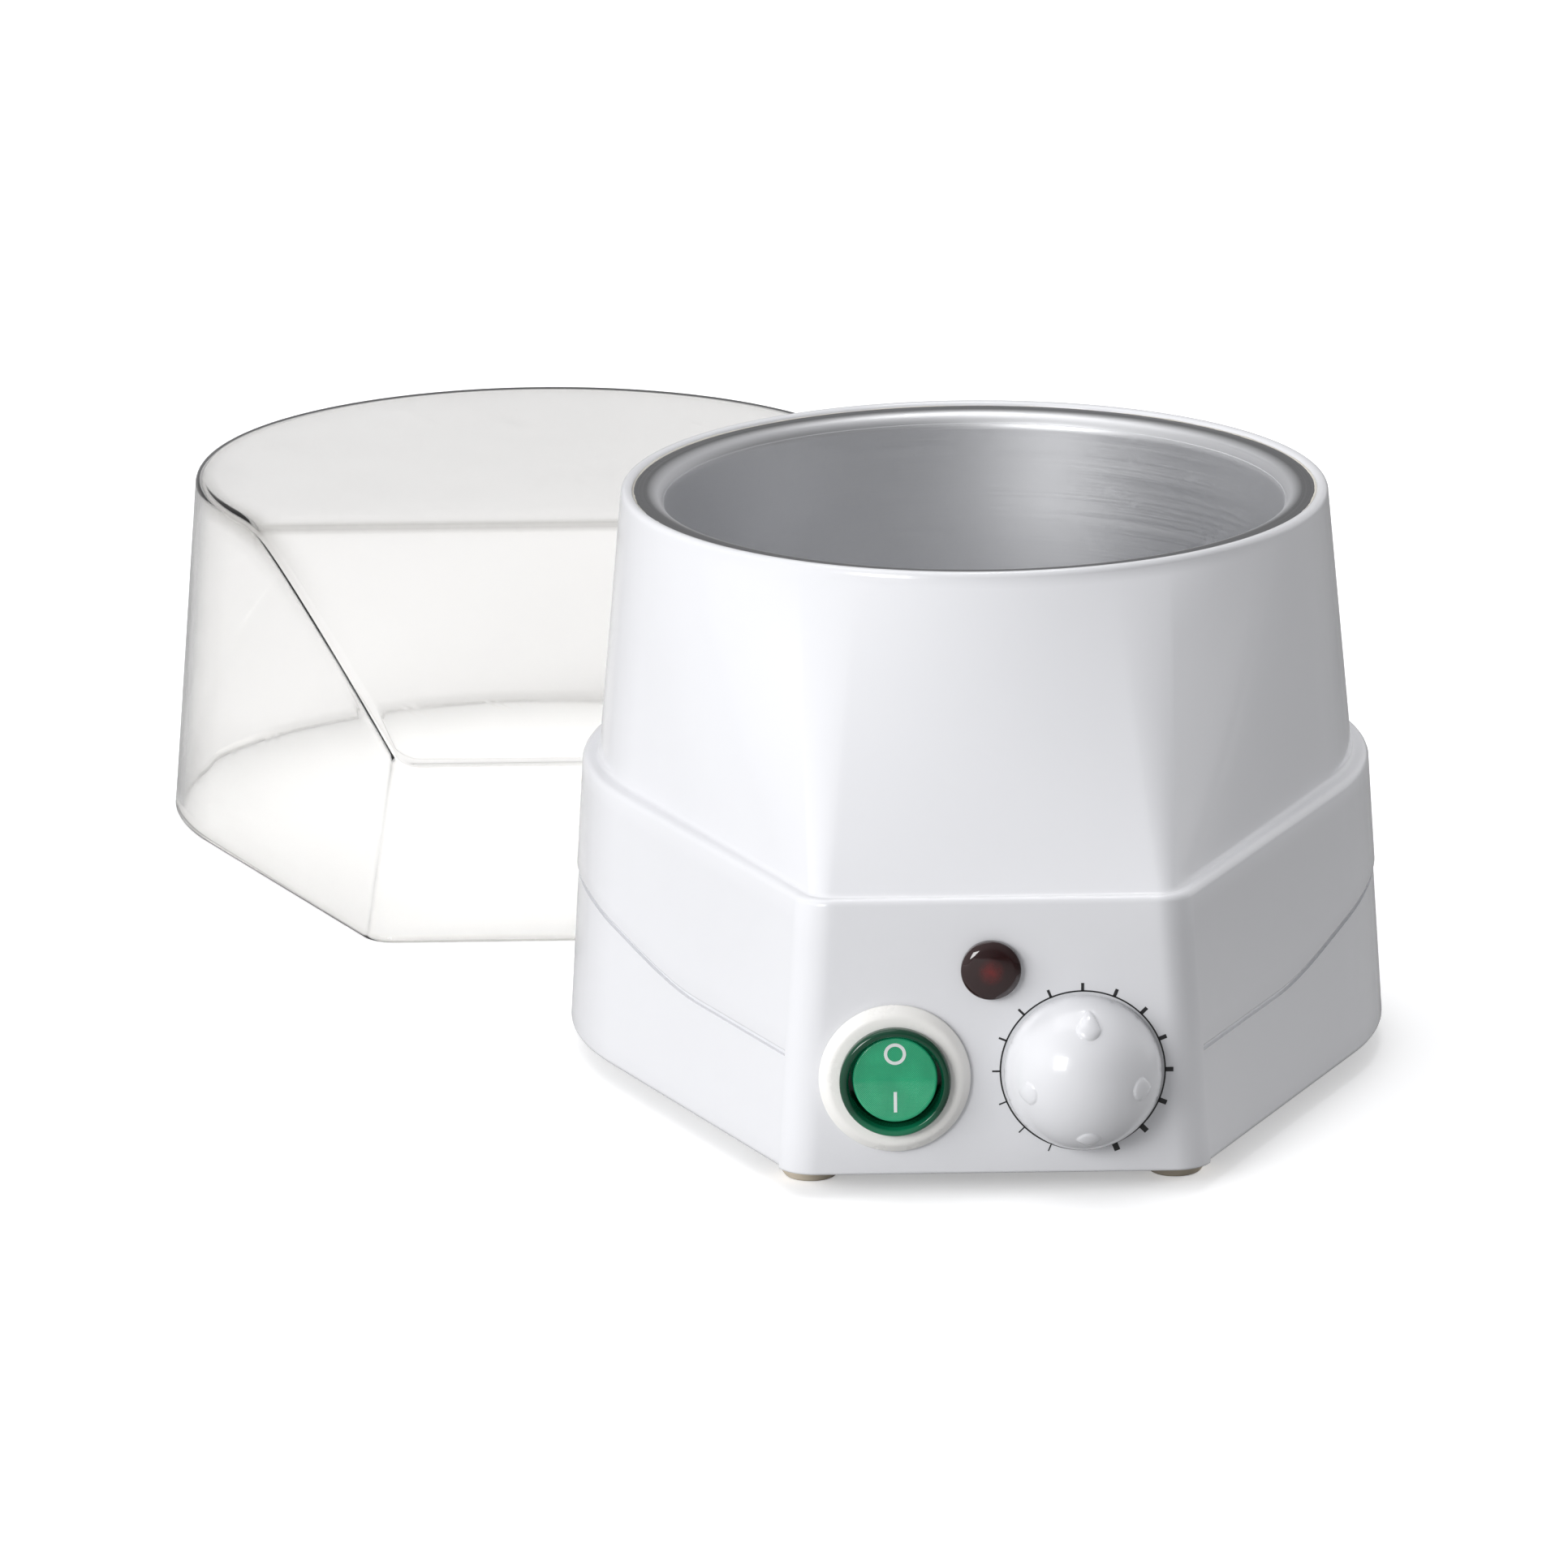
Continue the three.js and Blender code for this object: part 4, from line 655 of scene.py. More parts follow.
def switch_green(finishes):
    """Tinted clear green plastic: a fine lens pattern on a square grid lies under its face, and a faint
    green emission paints a glow on it.
    """
    made = finished_before("switch_green")
    if made:
        return made
    material, tree, shader, where = blank("switch_green")
    parts = add(tree, "ShaderNodeSeparateXYZ", {0: where}).outputs
    rate = 2 * math.pi / LENS_PITCH
    waves = [maths(tree, "SINE", maths(tree, "MULTIPLY", parts[axis], rate)) for axis in (0, 2)]
    cells = maths(tree, "MULTIPLY", *waves)
    dots = ranged(tree, cells, -0.2, 0.9, 0.0, 1.0)
    patch = ranged(tree, noise(tree, where, 160.0, 2.0), 0.35, 0.65, 0.35, 1.0)
    share = maths(tree, "MULTIPLY", dots, patch)
    bright = tuple(min(1.0, 2.2 * value + 0.02) for value in finishes.green)
    feed(shader, {
        "Base Color": mixed(tree, share, opaque(finishes.green), opaque(bright)),
        "Roughness": scratched(tree, where, 220.0, 0.12, 0.1),
        "Normal": bumped(tree, cells, 0.02 * MM), "Coat Weight": 0.5, "Coat Roughness": 0.04,
        # Painted glow: a faint green emission on the rocker's face.
        "Emission Color": opaque(finishes.green), "Emission Strength": 0.15,
    })
    return material


def bezel_green(finishes):
    """The bezel's darker green, which light from the rocker turns brighter at the bottom."""
    made = finished_before("switch_green_bezel")
    if made:
        return made
    material, tree, shader, where = blank("switch_green_bezel")
    deep = tuple(0.22 * value for value in finishes.green)
    out = moulded_look(tree, where, deep, 0.25, 0.08, 0.03, 400.0)
    height = add(tree, "ShaderNodeSeparateXYZ", {0: where}).outputs[2]
    lit = ranged(tree, height, SWITCH_AT.z - 6 * MM, SWITCH_AT.z - 12.5 * MM, 0.0, 0.8)
    feed(shader, {
        "Base Color": mixed(tree, lit, out["Color"], opaque(finishes.green)),
        "Roughness": out["Roughness"], "Coat Weight": 0.15, "Coat Roughness": 0.03,
    })
    return material


def lamp_red(finishes):
    """Dark red lens, with a painted glow that makes it redder towards its middle."""
    made = finished_before("lamp_red")
    if made:
        return made
    material, tree, shader, where = blank("lamp_red")
    about = add(tree, "ShaderNodeVectorMath", {0: where, 1: LAMP_AT}, operation="SUBTRACT").outputs[0]
    far = from_line(tree, about, (0, 2))[1]
    cells = ranged(tree, noise(tree, where, 700.0, 1.0), 0.3, 0.7, 0.6, 1.0)
    # Painted glow: the colour turns redder towards the lens's middle.
    glow = maths(tree, "MULTIPLY", ranged(tree, far, 0.3 * MM, 3.2 * MM, 1.0, 0.0), cells)
    dark = tuple(0.12 * value + 0.004 for value in finishes.red)
    feed(shader, {
        "Base Color": mixed(tree, glow, opaque(dark), opaque(finishes.red)),
        "Roughness": scratched(tree, where, 260.0, 0.06, 0.06),
        "Coat Weight": 0.6, "Coat Roughness": 0.03,
    })
    return material


def lid_clear(finishes):
    """Clear moulded plastic with faint hairlines and smudges, and painted shade that darkens its
    edges, the crease at the chord and its mouth."""
    made = finished_before("lid_clear")
    if made:
        return made
    material, tree, shader, where = blank("lid_clear")
    cloud = ranged(tree, noise(tree, where, 9.0, 2.0), 0.3, 0.7, 0.0, 1.0)
    shade = tuple(0.97 * value for value in finishes.clear)
    tint = mixed(tree, cloud, opaque(finishes.clear), opaque(shade))
    # Painted shade: the colour goes towards the dark edge colour along the edges, crease and mouth.
    deep = add(tree, "ShaderNodeAttribute", attribute_name="painted_edge_shade").outputs["Fac"]
    feed(shader, {
        "Base Color": mixed(tree, deep, tint, opaque(finishes.painted_edge_colour)),
        "Roughness": scratched(tree, where, 26.0, 0.03, 0.06),
        "Normal": bumped(tree, noise(tree, where, 42.0, 1.0), 0.04 * MM),
        "Transmission Weight": 1.0, "IOR": 1.33,
    })
    return material


INNER_FINISHES = {
    "steel": lambda f: metal("steel", (0.46, 0.47, 0.49), 0.32, 0.10, 1500.0),
    "brass": lambda f: metal("brass", (0.62, 0.46, 0.22), 0.30, 0.10, 1800.0),
    "sealant": lambda f: moulded("sealant", (0.72, 0.69, 0.62), 0.5, 0.25, 0.1, 1500.0, 0.00004),
    "insulation": lambda f: moulded("insulation", (0.66, 0.62, 0.50), 0.9, 0.35, 0.05, 700.0, 0.0002),
    "heater_silicone": lambda f: moulded("heater_silicone", (0.38, 0.09, 0.035), 0.6, 0.2),
    "black_moulding": lambda f: moulded("black_moulding", (0.02, 0.02, 0.023), 0.45, 0.2),
    "phenolic": lambda f: moulded("phenolic", (0.10, 0.055, 0.03), 0.55, 0.3),
    "wire_sleeve": lambda f: moulded("wire_sleeve", (0.33, 0.05, 0.03), 0.45, 0.15),
    "trim_white": trim_white,
    "shell_white": shell_white,
}

# ------------------------------------------------------------------ white shells


def arc_steps(steps):
    """Angles of a quarter turn."""
    return np.linspace(0, math.pi / 2, steps + 1)


SHELF_WIDTH = 7 * MM
SHELF_DEPTH = 2 * MM
SEAM_RECESS = 0.4 * MM
SEAM_LIP = 0.9 * MM
TONGUE_RISE = 3 * MM
TONGUE_WIDTH = 1.2 * MM
SWITCH_HOLE = 11.2 * MM
SMALL_HOLE = 4.9 * MM
VENTS = 8
VENT_RING = 0.34
VENT_HALF_WIDTH = 1.5 * MM
VENT_HALF_LENGTH = 6.5 * MM
GLAND_HOLE = 6.3 * MM
SCREW_WELL = 3.8 * MM
SCREW_HEAD = 1.7 * MM


def housing_rows(body):
    """Rings of the upper shell: up the skirt, over the ledge's rounded edge, in to the cone's hollow
    foot, straight up the ruled cone from the nose's outline to the rim's circle, over the lip, and
    back down inside the wall."""
    ledge = body.ledge_height
    shoulder = skirt(body, ledge)
    foot = cone_foot(body)
    level = skirt_row(body, body.seam_back / 2, 0)
    seam = seam_height(body, level[:, 1]) + body.seam_gap / 2
    bottom = np.where(FROM_NOSE > PANEL_END, seam, 0)
    small = 0.5 * body.edge_round
    rows = [skirt_row(body, bottom + small * (1 - math.cos(a)), small * (1 - math.sin(a)))
            for a in arc_steps(4)]
    top = ledge - body.edge_round
    for share in np.linspace(0, 1, 9)[1:]:
        rows.append(skirt_row(body, bottom + small + (top - bottom - small) * share, 0))
    for a in arc_steps(6)[1:]:
        edge = inset(shoulder, body.edge_round * (1 - math.cos(a)))
        rows.append(lift(outline(edge), top + body.edge_round * math.sin(a)))
    cone_low = lift(outline(foot), ledge)
    cone_high = lift(circle(body.rim_radius, foot), HOUSING_HIGH.z - body.edge_round)
    start = 1.2 * body.ledge_fillet / (HOUSING_HIGH.z - ledge)
    outer = cone_low + (rows[-1] - cone_low) * 0.5
    inner = cone_low + (cone_high - cone_low) * start
    for share in np.linspace(0, 1, 7):
        rows.append((1 - share) ** 2 * outer + 2 * share * (1 - share) * cone_low + share**2 * inner)
    for share in np.linspace(start, 1, 33)[1:]:
        rows.append(cone_low + (cone_high - cone_low) * share)
    lip_inner = body.rim_radius - body.lip
    half = body.lip / 2
    for a in arc_steps(6)[1:]:
        radius = body.rim_radius - half * (1 - math.cos(a))
        height = HOUSING_HIGH.z - body.edge_round * (1 - math.sin(a))
        rows.append(lift(circle(radius, foot), height))
    for a in arc_steps(5)[1:]:
        radius = lip_inner + half * (1 - math.sin(a))
        rows.append(lift(circle(radius, foot), HOUSING_HIGH.z - 0.6 * half * (1 - math.cos(a))))
    inner_foot = inset(foot, body.wall)
    shelf = SEAL_LOW.z - RUN_GAP
    shelf_inner = lip_inner - SHELF_WIDTH
    under = shelf - SHELF_DEPTH
    rows.append(lift(circle(lip_inner, inner_foot), shelf))
    rows.append(lift(circle(shelf_inner, inner_foot), shelf))
    rows.append(lift(circle(shelf_inner, inner_foot), under))
    high = lift(circle(lip_inner, inner_foot), under)
    low = lift(outline(inner_foot), ledge - body.wall)
    rows += [high + (low - high) * share for share in np.linspace(0, 1, 9)]
    rows.append(lift(outline(inset(shoulder, body.wall)), ledge - body.wall))
    rows.append(skirt_row(body, bottom, body.wall))
    return rows


def tray_rows(body):
    """Rings of the lower shell: over its rounded bottom edge, up to the seam, in over the tongue and
    down inside to the floor. Behind the panel it stops low."""
    recess = SEAM_RECESS
    behind = body.wall + RUN_GAP
    on_panel = FROM_NOSE <= PANEL_END + 1
    floor = body.wall
    level = skirt_row(body, body.seam_back / 2, 0)
    seam = seam_height(body, level[:, 1])

    def row(height, side, front):
        rows = [skirt_row(body, height, inward) for inward in (front, side)]
        return np.where(on_panel[:, None], *rows)

    def step(rise):
        return np.where(on_panel, floor + 4 * MM + min(rise, 0), seam + rise)

    rows = [row(body.edge_round * (1 - math.cos(a)), recess + body.edge_round * (1 - math.sin(a)),
                behind + 0.2 * MM * (1 - math.sin(a))) for a in arc_steps(6)]
    low = step(-body.seam_gap / 2)
    rows += [row(body.edge_round + (low - body.edge_round) * share, recess, behind)
             for share in np.linspace(0, 1, 9)[1:]]
    lip = recess + SEAM_LIP
    rows.append(row(step(-body.seam_gap / 2), lip, behind))
    rows.append(row(step(body.seam_gap / 2 - RUN_GAP), lip, behind))
    rows.append(row(step(body.seam_gap / 2 - RUN_GAP), behind, behind))
    rows.append(row(step(TONGUE_RISE), behind, behind))
    back = behind + TONGUE_WIDTH
    rows.append(row(step(TONGUE_RISE), back, back))
    rows.append(row(step(-TONGUE_RISE), back, back))
    rows.append(row(step(-1.6 * TONGUE_RISE), recess + body.wall, back))
    rows.append(row(floor, recess + body.wall, back))
    return rows


def upper_housing(body, material):
    """The upper shell, with round holes through its panel for the switch, lamp and spindle."""
    piece = skin("upper_housing_shell", housing_rows(body), True)
    holes = [(SWITCH_AT, SWITCH_HOLE), (LAMP_AT, SMALL_HOLE), (KNOB_AT, SMALL_HOLE)]
    through = 2 * body.wall
    cut(piece, [skin("cutter", out_of_panel(rod(radius, -through, through, 96), at), False)
                for at, radius in holes])
    return dress(piece, material, "housing", "shell_white", "upper_housing")


def base_tray(body, material):
    """The lower shell, with a ring of round-ended vents, the gland's hole and four screw wells."""
    piece = skin("base_tray_shell", tray_rows(body), False)
    cutters = []
    for k in range(VENTS):
        turn = Matrix.Rotation(2 * math.pi * (k + 0.5) / VENTS, 3, "Z")
        slot = rod(VENT_HALF_WIDTH, -body.wall, 2 * body.wall, 24)
        ends = np.where(slot[..., 1] > 0, VENT_HALF_LENGTH, -VENT_HALF_LENGTH)
        slot[..., 1] += ends + VENT_RING * body.skirt_radius
        cutters.append(skin("cutter", slot @ np.array(turn).T, False))
    bore = rod(GLAND_HOLE, -10 * MM, 10 * MM, 64)
    through = np.stack(
        [bore[..., 0], bore[..., 2] + body.skirt_radius, middle_of("cord_gland").z - bore[..., 1]], -1)
    cutters.append(skin("cutter", through, False))
    for k in range(4):
        screw = f"housing_screw_{k + 1}"
        at = middle_of(screw)
        well = rod(SCREW_WELL, -MM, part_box(screw)[0].z + SCREW_HEAD, 40)
        cutters.append(skin("cutter", well + np.array([at.x, at.y, 0]), False))
    cut(piece, cutters)
    return dress(piece, material, "housing", "shell_white", "base_tray")


# ------------------------------------------------------------------ well, bead and feet


def heating_well(well, material):
    """The well's path: over the floor, up the drafted wall, over the rolled flange and back under."""
    bore = WELL_HIGH.x - well.flange_width
    foot = bore - well.draft
    top, floor = WELL_HIGH.z, WELL_LOW.z + well.wall
    corners = [
        (0, WELL_LOW.z, 0),
        (foot + well.wall, WELL_LOW.z, well.floor_round + well.wall),
        (bore + well.wall, top - well.wall, well.flange_roll - well.wall),
        (WELL_HIGH.x, top - well.wall, 0),
        (WELL_HIGH.x, top, 0.35 * MM),
        (bore, top, well.flange_roll),
        (foot, floor, well.floor_round),
        (0, floor, 0),
    ]
    piece = skin("heating_well_spun", turned(rounded(corners, 12), 256), False)
    return dress(piece, material, "housing", "well_aluminium", "heating_well")


BEAD_WAVES = ((3, 0.4, 2), (7, 1.9, 3), (17, 4.0, 4), (41, 2.2, 5), (97, 0.7, 7), (163, 3.3, 9))


def rim_bead(well, body, material):
    """A round bead along the gap between flange and lip; sums of sines round the rim make it wider,
    higher or lower from place to place."""
    steps, sides = 720, 14
    angle = np.arange(steps)[:, None] * 2 * math.pi / steps
    around = np.arange(sides)[None, :] * 2 * math.pi / sides
    waves = sum(np.sin(rate * angle + start) / share for rate, start, share in BEAD_WAVES)
    size = well.bead_width * (0.62 + 0.22 * waves)
    middle = body.rim_radius - body.lip - 0.25 * MM + 0.12 * MM * np.sin(5 * angle + 1)
    radius = middle + size * np.cos(around)
    height = WELL_HIGH.z - 0.45 * MM + size * np.sin(around)
    rows = np.stack([radius * np.cos(angle), radius * np.sin(angle), height], -1)
    piece = surface("rim_bead", np.concatenate([rows, rows[:1]]), grid_faces(steps + 1, sides))
    return dress(piece, material, "housing", "sealant")


def rubber_feet(material):
    """Domed feet: a rounded puck turned about each foot's axis, with its stem through the tray."""
    stem, barb, tray = 2 * MM, 3 * MM, 2.8 * MM
    for name in FOOT_NAMES:
        low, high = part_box(name)
        radius = (high.x - low.x) / 2
        stand = -low.z
        corners = [
            (0, -stand, 0),
            (0.78 * radius, -stand, 1.6 * MM),
            (radius, -0.55 * stand, 2.4 * MM),
            (radius, -RUN_GAP, 0.5 * MM),
            (stem, -RUN_GAP, 0),
            (stem, tray, 0),
            (barb, tray, 0.3 * MM),
            (stem, 5 * MM, 0),
            (0, 5.3 * MM, 0),
        ]
        middle = np.array([(low.x + high.x) / 2, (low.y + high.y) / 2, 0])
        piece = skin(f"{name}_dome", turned(rounded(corners), 64) + middle, False)
        dress(piece, material, "housing", "foot_rubber", name)


def cord_gland(material):
    """A tapered gland turned about an axis along +Y, with rings round its nose."""
    neck, bore = 6 * MM, 3.6 * MM
    inside, end = GLAND_LOW.y, GLAND_HIGH.y
    face = end - 5 * MM
    corners = [
        (bore, inside, 0),
        (neck, inside, 0.4 * MM),
        (neck, face, 0),
        (neck + 2.6 * MM, face, 0.4 * MM),
        (neck + 2.3 * MM, face + 2.0 * MM, 0.6 * MM),
        (neck + 0.4 * MM, face + 2.6 * MM, 0.4 * MM),
        (neck - 0.2 * MM, face + 3.5 * MM, 0.3 * MM),
        (bore + 1.5 * MM, end, 0.7 * MM),
        (bore, end, 0.3 * MM),
    ]
    points = turned(rounded(corners), 64)
    height = middle_of("cord_gland").z
    points = np.stack([points[..., 0], points[..., 2], height - points[..., 1]], -1)
    piece = skin("cord_gland_turned", points, True)
    return dress(piece, material, "housing", "trim_white", "cord_gland")


# ------------------------------------------------------------------ controls


BARREL_RADIUS = 10.9 * MM
BARREL_DEPTH = 24 * MM
POCKET_DEPTH = 7 * MM
ROCKER_TILT = math.radians(8)
ROCKER_PIVOT = 1 * MM
VALLEY_ROUND = 0.5 * MM
VALLEY_DROP = 1.2 * MM
KEEL_HALF = 3 * MM
KEEL_DEPTH = 4.2 * MM
KEEL_RISE = 3.2 * MM
MARK_HALF_WIDTH = 0.36 * MM
MARK_HALF_RISE = 0.05 * MM


def switch_collar(controls, material):
    """A flat ring with a broad domed edge, turned out of the panel."""
    radius, rise = controls.collar_radius, controls.collar_rise
    corners = [
        (SWITCH_HOLE, RUN_GAP, 0),
        (radius, RUN_GAP, 0.3 * MM),
        (radius, 1.1 * MM, 0.5 * MM),
        (radius - 1.9 * MM, rise, 2.2 * MM),
        (SWITCH_HOLE, rise, 0),
    ]
    points = out_of_panel(turned(rounded(corners, 8), 192), SWITCH_AT)
    return dress(skin("switch_collar_ring", points, True), material, "housing", "trim_white",
                 "switch_collar")


def switch_bezel(controls, material):
    """Barrel and bezel: a rounded ring that slopes down to the rocker's pocket."""
    bottom = controls.collar_rise + RUN_GAP / 2
    top = bottom + controls.bezel_rise
    pocket = controls.rocker_radius + 0.7 * MM
    radius = controls.bezel_radius
    corners = [
        (0, -BARREL_DEPTH, 0),
        (BARREL_RADIUS, -BARREL_DEPTH, 0.8 * MM),
        (BARREL_RADIUS, bottom, 0),
        (radius, bottom, 0.2 * MM),
        (radius, top, 1.0 * MM),
        (pocket + 0.55 * MM, top, 0.4 * MM),
        (pocket, top - 1.1 * MM, 0.3 * MM),
        (pocket, -POCKET_DEPTH, 0),
        (0, -POCKET_DEPTH, 0),
    ]
    points = out_of_panel(turned(rounded(corners, 8), 160), SWITCH_AT)
    return dress(skin("switch_body_bezel", points, False), material, "housing", "switch_green",
                 "switch_body")


def rocker_face(controls, up):
    """Height of the rocker's face above its pivot: two planes that rise away from a rounded valley
    on the pivot's line."""
    valley = controls.collar_rise + RUN_GAP / 2 + controls.bezel_rise - VALLEY_DROP + ROCKER_PIVOT
    return valley + math.tan(ROCKER_TILT) * (np.sqrt(up**2 + VALLEY_ROUND**2) - VALLEY_ROUND)


def tilted(points):
    """Rocker points (across, up, out) put at the switch with the upper half pressed in."""
    out, up = points[..., 2], points[..., 1]
    turned_out = out * math.cos(ROCKER_TILT) - up * math.sin(ROCKER_TILT)
    turned_up = out * math.sin(ROCKER_TILT) + up * math.cos(ROCKER_TILT)
    y = PANEL_Y + ROCKER_PIVOT - turned_out
    return np.stack([SWITCH_AT.x + points[..., 0], y, SWITCH_AT.z + turned_up], -1)


def switch_rocker(controls, material):
    """A round rocker on a polar grid: a keel below, a tapered side, a rounded rim and the valley
    face, which runs in to the middle."""
    segments = 144
    angle = np.arange(segments) * 2 * math.pi / segments
    edge = 0.45 * MM

    def ring(radius, height=None, drop=0.0):
        across, up = radius * np.cos(angle), radius * np.sin(angle)
        top = rocker_face(controls, up) - drop
        return np.stack([across, up, top if height is None else height(up)], -1)

    def keel(up):
        share = np.clip((np.abs(up) - KEEL_HALF) / (controls.rocker_radius - KEEL_HALF), 0, 1)
        return KEEL_RISE * share - KEEL_DEPTH

    foot = controls.rocker_radius
    rim = controls.rocker_radius - 0.25 * MM
    rows = [ring(radius, keel) for radius in np.linspace(0.1, 1, 6) * foot]
    rows += [ring(rim - edge * (1 - math.cos(a)), drop=edge * (1 - math.sin(a)))
             for a in arc_steps(5)]
    rows += [ring(share * (rim - edge)) for share in np.linspace(1, 0.02, 36)[1:]]
    piece = skin("switch_rocker_face", tilted(np.array(rows)), False, 60)
    return dress(piece, material, "rocker", "switch_green", "switch_rocker")


def rocker_marks(controls, material):
    """The off ring and the on bar: thin raised strips that follow the rocker's face."""
    sides = np.array([(-1, -1), (1, -1), (1, 1), (-1, 1)])
    steps = 72
    angle = np.arange(steps + 1)[:, None] * 2 * math.pi / steps
    rise = MARK_HALF_RISE * sides[:, 1]
    radius = 2.05 * MM + MARK_HALF_WIDTH * sides[None, :, 0]
    across, up = radius * np.cos(angle), 5.6 * MM + radius * np.sin(angle)
    ring = np.stack([across, up, np.broadcast_to(rise, across.shape)], -1)
    along = np.linspace(-1, 1, 9)[:, None] * 2.2 * MM - 5.0 * MM
    across = np.broadcast_to(MARK_HALF_WIDTH * sides[:, 0], (9, 4))
    bar = np.stack([across, along + 0 * across, np.broadcast_to(rise, (9, 4))], -1)
    bar = bar[:, ::-1]
    for strip in (ring, bar):
        strip[..., 2] += rocker_face(controls, strip[..., 1]) + 0.02 * MM
    ends = [np.broadcast_to(bar[k].mean(0), bar[k].shape)[None] for k in (0, -1)]
    bar = np.concatenate([ends[0], bar, ends[1]])
    points = np.concatenate([tilted(ring).reshape(-1, 3), tilted(bar).reshape(-1, 3)])
    faces = np.concatenate([grid_faces(steps + 1, 4), grid_faces(11, 4, ring.size // 3)])
    return dress(surface("rocker_marks", points, faces, 50), material, "rocker", "trim_white")


def lamp_lens(controls, material):
    """A low domed lens with a stepped rim, turned out of the panel."""
    stem, depth, radius, rise = 4.6 * MM, 8 * MM, controls.lamp_radius, controls.lamp_rise
    crown = np.linspace(0.82, 0, 12)
    dome = [(radius * share, rise - 0.9 * MM * share**2, 0) for share in crown]
    corners = [
        (0, -depth, 0),
        (stem, -depth, 0.4 * MM),
        (stem, RUN_GAP, 0),
        (radius, RUN_GAP, 0.15 * MM),
        (radius, 1.9 * MM, 0.6 * MM),
        *dome,
    ]
    points = out_of_panel(turned(rounded(corners), 128), LAMP_AT)
    return dress(skin("lamp_lens_dome", points, False), material, "housing", "lamp_red", "lamp_lens")


DIAL_MARKS = 15
DIAL_SPAN = math.radians(315)
PRINT_RISE = 0.06 * MM


def dial_scale(controls, material):
    """Printed ring and marks: a thin flat ring about the knob's axis, and marks along its radii
    that widen evenly from the low end to the high end."""
    radius, half, segments = controls.dial_radius, 0.17 * MM, 240
    ring = turned([(radius - half, 0), (radius + half, 0), (radius + half, PRINT_RISE),
                   (radius - half, PRINT_RISE), (radius - half, 0)], segments)
    share = np.linspace(0, 1, DIAL_MARKS)[:, None]
    turn = DIAL_SPAN * (0.5 - share)
    width = (0.13 + 0.52 * share**1.4) * MM
    sides = np.array([-1, 1, 1, -1, -1, 1, 1, -1])
    reach = np.array([0, 0, 1, 1, 0, 0, 1, 1]) * controls.tick_length + radius
    height = np.repeat([0, PRINT_RISE], 4)
    along = np.stack([-np.sin(turn), np.cos(turn)], -1)
    across = np.stack([np.cos(turn), np.sin(turn)], -1)
    flat = along * reach[None, :, None] + across * (sides * width)[..., None]
    marks = np.concatenate([flat, np.broadcast_to(height[:, None], flat.shape[:2] + (1,))], -1)
    box = np.array([(3, 2, 1, 0), (4, 5, 6, 7), (0, 1, 5, 4), (1, 2, 6, 5), (2, 3, 7, 6),
                    (3, 0, 4, 7)])
    first = ring.size // 3
    faces = [grid_faces(5, segments), *(first + 8 * k + box for k in range(DIAL_MARKS))]
    points = np.concatenate([ring.reshape(-1, 3), marks.reshape(-1, 3)])
    points = out_of_panel(points, KNOB_AT)
    piece = surface("dial_scale", points, np.concatenate(faces), 30)
    return dress(piece, material, "housing", "black_moulding")


def drop_height(along, across, radius, tail):
    """Height, from 0 to 1, of a raised drop about its round end: an ellipse-like cap whose width
    narrows along its tail."""
    share = np.clip(along / tail, 0, 1)
    width = radius * (1 - share) ** 0.75
    reach = np.where(along > 0, tail, radius)
    ratio = (across / np.maximum(width, 1e-6)) ** 2 + np.where(along > 0, 0, (along / reach) ** 2)
    return np.where(ratio < 1, np.sqrt(np.clip(1 - ratio, 0, 1)) * (1 - share**2), 0)


DROPS = ((4, 5.2, 0.95), (95, 2.9, 0.6), (176, 2.9, 0.5), (262, 2.9, 0.45))
DROP_REACH = 12.6 * MM
SPINDLE_BORE = 3.12 * MM
SPINDLE_TOP = 12.3 * MM
KNOB_HUB = 6 * MM


def control_knob(controls, material):
    """A half-ellipse dome on a polar grid, hollow below. Each raised drop, given by its angle in
    degrees and its tail and height in mm, adds its height along the dome's normal."""
    radius, rise, gap = controls.knob_radius, controls.knob_rise, controls.knob_gap
    segments = 288
    angle = np.arange(segments)[None, :] * 2 * math.pi / segments
    lift_angle = np.linspace(0.0, math.pi / 2, 150)[:, None]
    depth = rise - gap
    flat = radius * np.cos(lift_angle)
    dome = np.stack([flat * np.cos(angle), flat * np.sin(angle),
                     gap + depth * np.sin(lift_angle) + 0 * angle], -1)
    normal = np.stack([np.cos(lift_angle) * np.cos(angle) / radius,
                       np.cos(lift_angle) * np.sin(angle) / radius,
                       np.sin(lift_angle) / depth + 0 * angle], -1)
    normal /= np.linalg.norm(normal, axis=-1, keepdims=True)
    raised = np.zeros(dome.shape[:2])
    place = math.acos(DROP_REACH / radius)
    for degrees, tail, proud in DROPS:
        turn = math.pi / 2 - math.radians(degrees)
        outward = np.array([math.cos(turn), math.sin(turn), 0])
        middle = outward * radius * math.cos(place)
        middle[2] = gap + depth * math.sin(place)
        side = np.array([-math.sin(turn), math.cos(turn), 0])
        down = outward * radius * math.sin(place) - np.array([0, 0, depth * math.cos(place)])
        down /= np.linalg.norm(down)
        offset = dome - middle
        raised = np.maximum(raised, proud * MM * drop_height(
            offset @ down, offset @ side, controls.drop_radius, tail * MM))
    dome += normal * raised[..., None]
    hollow = 0.62 * rise
    inside = [
        (0, SPINDLE_TOP, 0), (SPINDLE_BORE, SPINDLE_TOP, 0), (SPINDLE_BORE, 4 * MM, 0),
        (KNOB_HUB, 4 * MM, 0), (KNOB_HUB, hollow, 0), (0.62 * radius, 0.9 * hollow, 1.5 * MM),
        (radius - 2.4 * MM, 0.4 * hollow, 1.5 * MM), (radius - 1.6 * MM, gap, 0),
    ]
    rows = np.concatenate([turned(rounded(inside), segments), dome])
    piece = skin("control_knob_dome", out_of_panel(rows, KNOB_AT), False)
    return dress(piece, material, "knob", "shell_white", "control_knob")


# ------------------------------------------------------------------ lid


CREASE_EASE = 1.6 * MM


